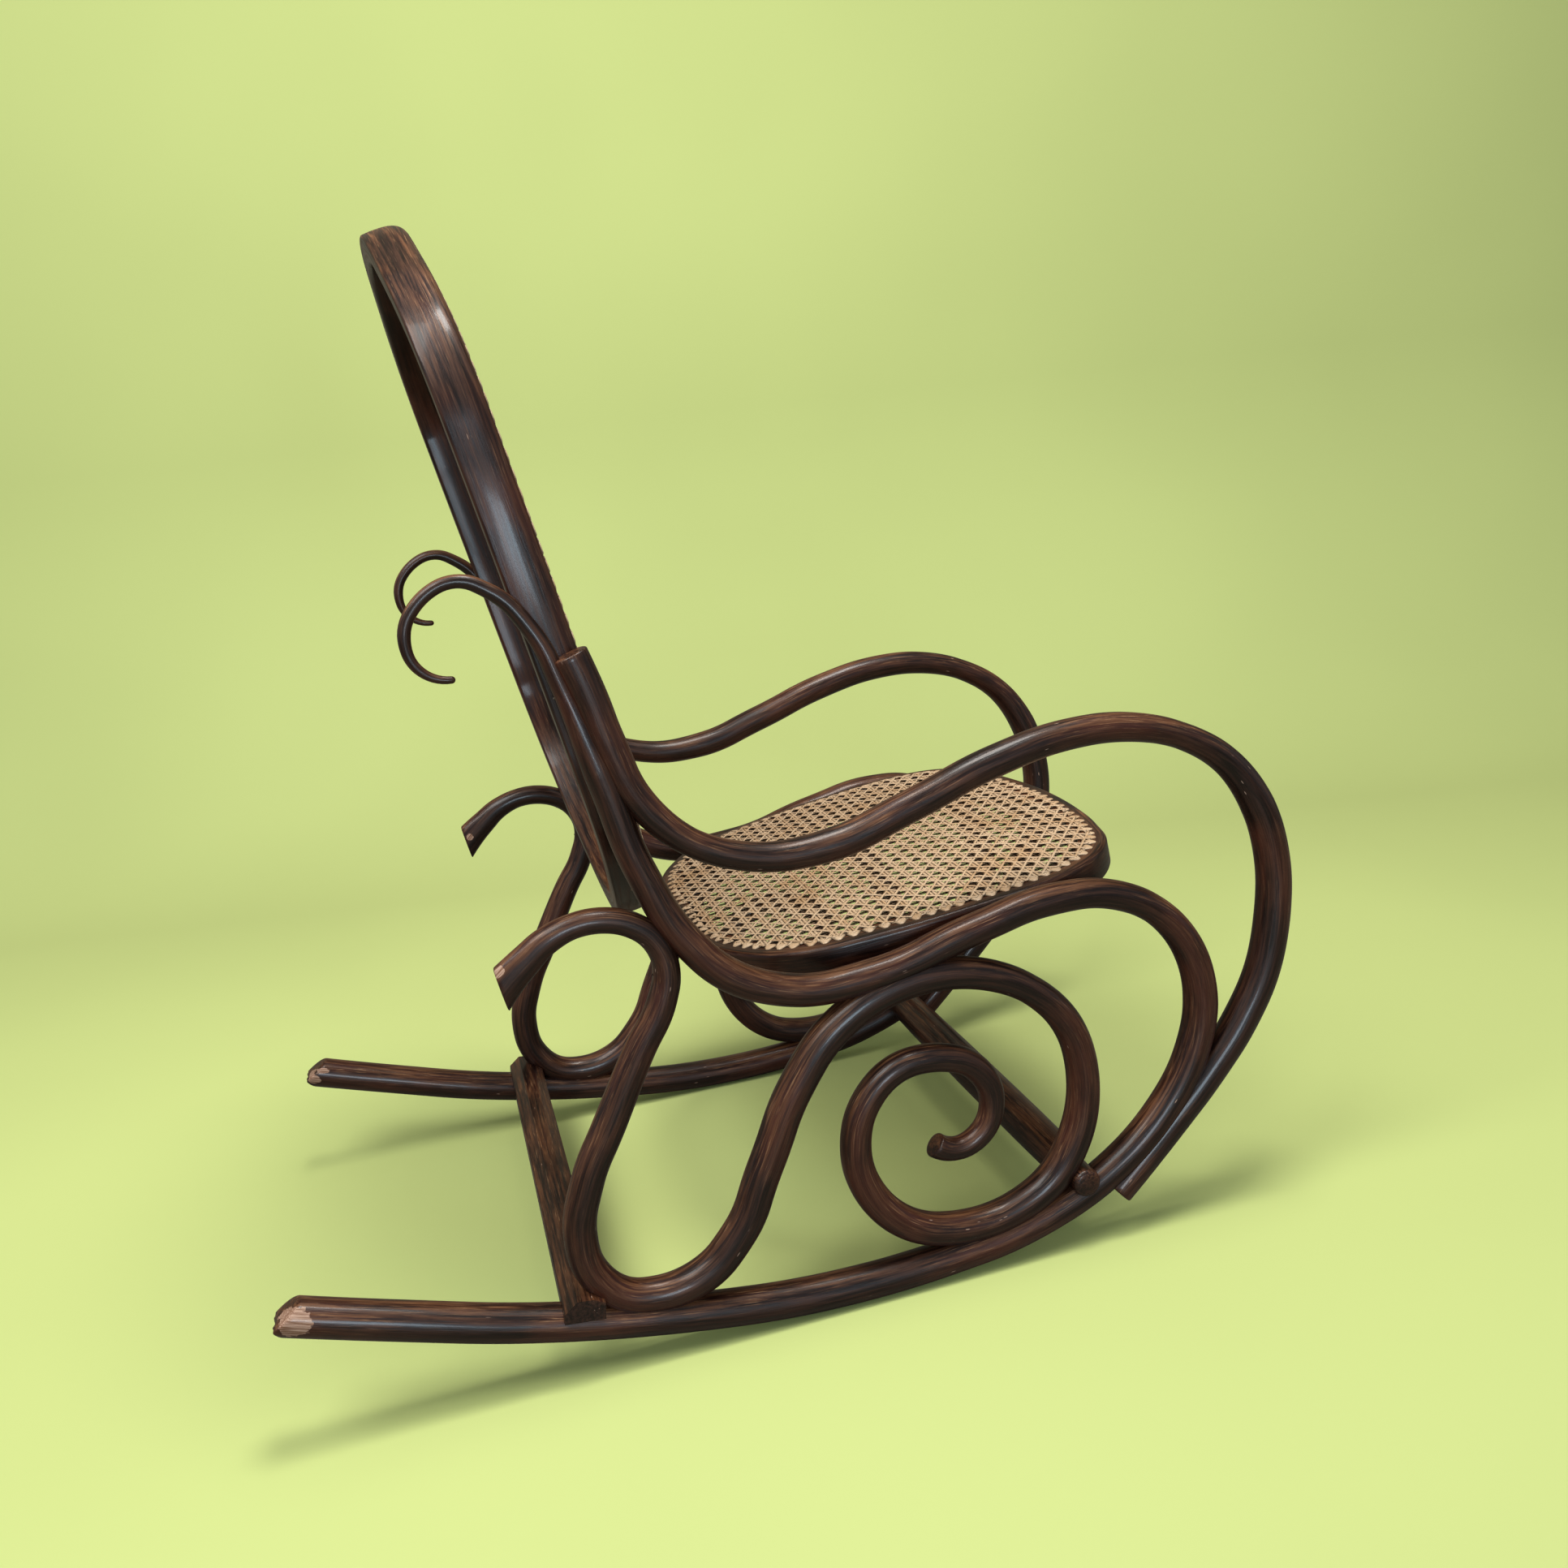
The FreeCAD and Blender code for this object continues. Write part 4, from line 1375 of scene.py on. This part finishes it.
    def lay_tongues(self, draft: MeshDraft, rng: random.Random) -> None:
        """Lay the tongues that gather the strands into the drilled holes of the frame.

        Args:
            draft: The mesh being made.
            rng: Source of the tongues' small differences.
        """
        total = self.outline.lengths[-1]
        count = round(total / self.tongue_pitch)
        inner = self.outline.inset(self.field_inset + self.tongue_overlap)
        outer = self.outline.inset(self.hole_inset)
        lengths = self.outline.lengths
        for number in range(count):
            wanted = total * number / count
            index = min(range(len(lengths)), key=lambda item: abs(lengths[item] - wanted))
            direction = self.outline.directions[index]
            shade = rng.random() ** 2
            rings: list[list[int]] = []
            stretch = rng.uniform(*self.tongue_stretch)
            for share, half_share, level in TONGUE_RINGS:
                middle = inner[index].lerp(outer[index], share + stretch * share)
                half = half_share * self.tongue_pitch
                ring = []
                for sideways, rise in TONGUE_SECTION:
                    spot = middle + direction * (sideways * half)
                    straight = Vector((sideways * half, rise, share * self.tongue_length)) * MM
                    straight.x += self.fibre_shift * number
                    place = self.plane.place(spot.x, spot.y, self.surface + level + rise)
                    ring.append(draft.add(place, straight, shade))
                rings.append(ring)
            draft.loft(rings)


@dataclass
class OvalBack:
    """The reclined oval hoop and its cane."""

    top: Point = (-341.0, 965.0)
    recline: float = 18.2
    depth: float = 37.5
    thickness: float = 25.0
    length: float = 671.0
    half_width: float = SIDE_PLANE - 8.0
    drawn_in: Sequence[Point] = (
        (10, 172), (36, 118), (70, 63), (108, 25), (150, 6), (210, 0), (370, 0),
        (426, 2.6), (480, 5.5), (545, 28), (592, 70), (632, 123), (661, 183),
    )

    def build(self, wood: bpy.types.Material, cane: bpy.types.Material) -> None:
        """Make the hoop and its cane.

        Args:
            wood: The finish of the hoop.
            cane: The finish of the cane.
        """
        turn = math.radians(self.recline)
        plane = FramePlane(
            Vector((self.top[0], 0.0, self.top[1])),
            Vector((math.sin(turn), 0.0, -math.cos(turn))),
            Vector((math.cos(turn), 0.0, math.sin(turn))),
        )
        stations = mirrored_outline(0.0, self.drawn_in, self.length, self.half_width)
        outline = CentreLine(stations, closed=True)
        hoop = BentRing("bent_back_hoop", "back_hoop", plane, outline, self.thickness, seed=71)
        hoop.low, hoop.high, hoop.crowned = 0.0, self.depth, True
        hoop.outer_round, hoop.inner_round = 9.0, 3.0
        hoop.build(wood)
        panel = CanePanel("woven_back_cane", "back_cane", plane, outline, self.depth, seed=8)
        panel.hole_inset, panel.lift = 12.0, -0.8
        panel.build(cane)


@dataclass
class CanedSeat:
    """The bent seat frame and its cane."""

    reference: Point = (120.0, 363.0)
    tilt: float = 13.9
    depth: float = 30.0
    thickness: float = 28.0
    rear: float = -192.0
    front: float = 246.0
    half_width: float = SIDE_PLANE - RAIL_RADIUS - FIT_GAP
    drawn_in: Sequence[Point] = (
        (-188, 140), (-177, 102), (-160, 72), (-138, 47), (-100, 24), (-50, 12), (10, 3),
        (60, 0), (110, 0), (152, 8), (187, 25), (214, 54), (232, 108), (242, 170),
    )

    def build(self, wood: bpy.types.Material, cane: bpy.types.Material) -> None:
        """Make the seat frame and its cane.

        Args:
            wood: The finish of the frame.
            cane: The finish of the cane.
        """
        turn = math.radians(self.tilt)
        plane = FramePlane(
            Vector((self.reference[0], 0.0, self.reference[1])),
            Vector((math.cos(turn), 0.0, math.sin(turn))),
            Vector((-math.sin(turn), 0.0, math.cos(turn))),
        )
        stations = mirrored_outline(self.rear, self.drawn_in, self.front, self.half_width)
        outline = CentreLine(stations, closed=True)
        frame = BentRing("bent_seat_frame", "seat_frame", plane, outline, self.thickness, seed=73)
        frame.low, frame.high = -self.depth, 0.0
        frame.outer_round, frame.inner_round = 5.0, 1.5
        frame.build(wood)
        CanePanel("woven_seat_cane", "seat_cane", plane, outline, 0.0, seed=9).build(cane)


def mirrored_outline(
    start: float,
    drawn_in: Sequence[Point],
    end: float,
    half_width: float,
) -> list[Point]:
    """Return the stations of a closed outline that is the same on both sides.

    Args:
        start: Where the outline crosses the middle first.
        drawn_in: Pairs of distance along and how far the side is drawn in there.
        end: Where the outline crosses the middle again.
        half_width: Half of the full width.

    Returns:
        The stations, so that the outline's inside is to its left.
    """
    upper = [(along, half_width - inward) for along, inward in drawn_in]
    lower = [(along, -width) for along, width in upper]
    return [(start, 0.0), *lower, (end, 0.0), *reversed(upper)]


@dataclass
class FrontStretcher:
    """The round front cross rod: stout between the side frames, turned down at both ends."""

    centre: Point = (277.0, 99.0)
    half_profile: Sequence[Point] = (
        (0, 20.6), (80, 20.4), (150, 20.0), (205, 19.2), (226, 18.4), (234, 16.6),
        (238, 14.4), (244, 13.9), (262, 13.8), (270.5, 13.8), (273.4, 12.8), (274.8, 10.0),
    )
    sides: int = 32
    grain_shift: float = 2.7

    def build(self, wood: bpy.types.Material) -> None:
        """Make the rod and let it stand for its node.

        Args:
            wood: The finish of the rod.
        """
        draft = MeshDraft()
        mirrored = [(-across, radius) for across, radius in reversed(self.half_profile[1:])]
        profile = (*mirrored, *self.half_profile)
        draft.loft([self.add_ring(draft, across, radius) for across, radius in profile])
        made = draft.piece("turned_front_stretcher", wood, "varnished_wood")
        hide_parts("front_stretcher")

    def add_ring(self, draft: MeshDraft, across: float, radius: float) -> list[int]:
        """Add one ring of the rod's skin.

        Args:
            draft: The mesh being made.
            across: Place of the ring along Y.
            radius: Radius of the rod there.

        Returns:
            The numbers of its vertices.
        """
        ring = []
        for number in range(self.sides):
            angle = 2.0 * math.pi * number / self.sides
            forward, up = radius * math.cos(angle), radius * math.sin(angle)
            place = at_rest(Vector((self.centre[0] + forward, across, self.centre[1] + up)))
            straight = Vector((forward * MM, up * MM, across * MM + self.grain_shift))
            ring.append(draft.add(place, straight))
        return ring


@dataclass
class CrossPieces:
    """The rear stretcher and all screws, which keep their CAD shapes."""

    stretchers: Sequence[str] = ("rear_stretcher",)
    screws: Sequence[str] = (
        "arm_top_screws", "arm_foot_screws", "support_foot_screws", "support_rail_screws",
        "small_loop_screws", "front_stretcher_screws", "rear_stretcher_screws",
        "hoop_screws", "seat_screws",
    )

    def dress(self, frame: dict, wood: bpy.types.Material, steel: bpy.types.Material) -> None:
        """Give the carried-over CAD pieces their finishes.

        Args:
            frame: The loaded frame.
            wood: The finish of the stretcher.
            steel: The finish of the screws.
        """
        for names, material in ((self.stretchers, wood), (self.screws, steel)):
            for name in names:
                node = frame["nodes"][name]
                node.data.materials.clear()
                node.data.materials.append(material)
                log.info("%s: dressed", name)


# Studio
@dataclass
class Studio:
    """Pale floor and backdrop, soft lamps and the camera.

    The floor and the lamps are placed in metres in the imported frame. The camera's eye and axes
    are in the working frame.
    """

    backdrop: Colour = (0.585, 0.680, 0.255)
    bounce: Colour = (0.23, 0.22, 0.16)
    eye: Vector = field(default_factory=lambda: Vector((-330.0, -1342.9, 740.8)))
    rightward: Vector = field(default_factory=lambda: Vector((0.9616, -0.2745, 0.0)))
    downward: Vector = field(default_factory=lambda: Vector((-0.0566, -0.1982, -0.9785)))
    forward: Vector = field(default_factory=lambda: Vector((0.2686, 0.9409, -0.2061)))
    focal_pixels: float = 1680.0
    picture_pixels: float = 1932.0
    sensor_width: float = 36.0
    sight: float = 50.0
    floor_turn: float = -14.0
    sky: Colour = (0.95, 0.98, 1.0)
    sky_strength: float = 0.36

    def build(self) -> None:
        """Make the floor, the lamps, the world and the camera."""
        self.lay_floor()
        self.hang_lamps()
        self.light_world()
        self.set_camera()

    def floor_material(self) -> bpy.types.Material:
        """Return the plain matt finish of floor and backdrop."""
        bench = NodeBench("studio_paper")
        tone = bench.noise(bench.object_place(), 1.2, 2.0, 0.4)
        paler = tuple(min(1.0, channel * 1.05) for channel in self.backdrop)
        seen = bench.mixed(bench.ranged(tone, 0.3, 0.7), self.backdrop, paler)
        rays = bench.tree.nodes.new("ShaderNodeLightPath")
        colour = bench.mixed(rays.outputs["Is Camera Ray"], self.bounce, seen)
        bench.link(colour, bench.surface.inputs["Base Color"])
        bench.surface.inputs["Roughness"].default_value = 0.95
        bench.surface.inputs["Specular IOR Level"].default_value = 0.05
        return bench.material

    def lay_floor(self) -> None:
        """Make a floor that curves up into the backdrop behind the chair."""
        near, bend, radius, top, half = -4.5, 1.2, 0.9, 5.0, 6.0
        profile: list[Point] = [(near, 0.0), (bend, 0.0)]
        steps = 16
        for number in range(1, steps + 1):
            angle = 0.5 * math.pi * number / steps
            profile.append((bend + radius * math.sin(angle), radius * (1.0 - math.cos(angle))))
        profile.append((bend + radius, top))
        vertices = [Vector((x, y, z)) for y, z in profile for x in (-half, half)]
        faces = [(2 * i, 2 * i + 1, 2 * i + 3, 2 * i + 2) for i in range(len(profile) - 1)]
        mesh = bpy.data.meshes.new("studio_floor")
        mesh.from_pydata(vertices, [], faces)
        mesh.polygons.foreach_set("use_smooth", [True] * len(mesh.polygons))
        mesh.materials.append(self.floor_material())
        floor = bpy.data.objects.new("studio_floor", mesh)
        floor.rotation_euler.z = math.radians(self.floor_turn)
        bpy.context.scene.collection.objects.link(floor)

    def hang_lamps(self) -> None:
        """Hang soft area lamps round the chair."""
        lamps = (
            ("window_lamp", (-0.15, -3.2, 0.60), (0.0, 0.0, 0.55), 0.65, 27.0, (0.70, 0.87, 1.0)),
            ("ceiling_lamp", (0.35, -0.45, 3.1), (0.0, 0.0, 0.3), 0.8, 50.0, (1.0, 0.96, 0.90)),
            ("backdrop_lamp", (-1.5, -0.9, 2.9), (0.0, 2.0, 1.0), 1.6, 70.0, (1.0, 0.98, 0.94)),
        )
        for name, place, target, size, power, colour in lamps:
            light = bpy.data.lights.new(name, "AREA")
            light.shape = "SQUARE"
            light.size = size
            light.energy = power
            light.color = colour
            lamp = bpy.data.objects.new(name, light)
            lamp.location = place
            aim = Vector(target) - Vector(place)
            lamp.rotation_euler = aim.to_track_quat("-Z", "Y").to_euler()
            bpy.context.scene.collection.objects.link(lamp)

    def light_world(self) -> None:
        """Fill the shadows with an even pale sky."""
        world = bpy.data.worlds.new("studio_air")
        world.use_nodes = True
        sky = world.node_tree.nodes["Background"]
        sky.inputs["Color"].default_value = (*self.sky, 1.0)
        sky.inputs["Strength"].default_value = self.sky_strength
        bpy.context.scene.world = world

    def set_camera(self) -> None:
        """Put the camera where the photographer stood."""
        data = bpy.data.cameras.new("photographer")
        data.sensor_width = self.sensor_width
        data.lens = data.sensor_width * self.focal_pixels / self.picture_pixels
        data.clip_end = self.sight
        camera = bpy.data.objects.new("photographer", data)
        axes = [turned_to_rest(axis) for axis in (self.rightward, -self.downward, -self.forward)]
        turn = Matrix([axis.normalized() for axis in axes]).transposed()
        camera.matrix_world = Matrix.Translation(at_rest(self.eye)) @ turn.to_4x4()
        bpy.context.scene.collection.objects.link(camera)
        bpy.context.scene.camera = camera


def make_chair() -> None:
    """Load the frame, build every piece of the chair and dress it."""
    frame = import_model()
    bpy.context.scene.view_settings.view_transform = "Standard"
    wood = VarnishedWood().material()
    crosswise = VarnishedWood("varnished_beech_straight", GrainPath.CROSSWISE).material()
    cane = NaturalCane().material()
    steel = AgedSteel().material()
    for side in Side:
        SideFrame(side, wood).build()
    OvalBack().build(wood, cane)
    CanedSeat().build(wood, cane)
    FrontStretcher().build(wood)
    CrossPieces().dress(frame, crosswise, steel)
    Studio().build()


if __name__ == "__main__":
    make_chair()
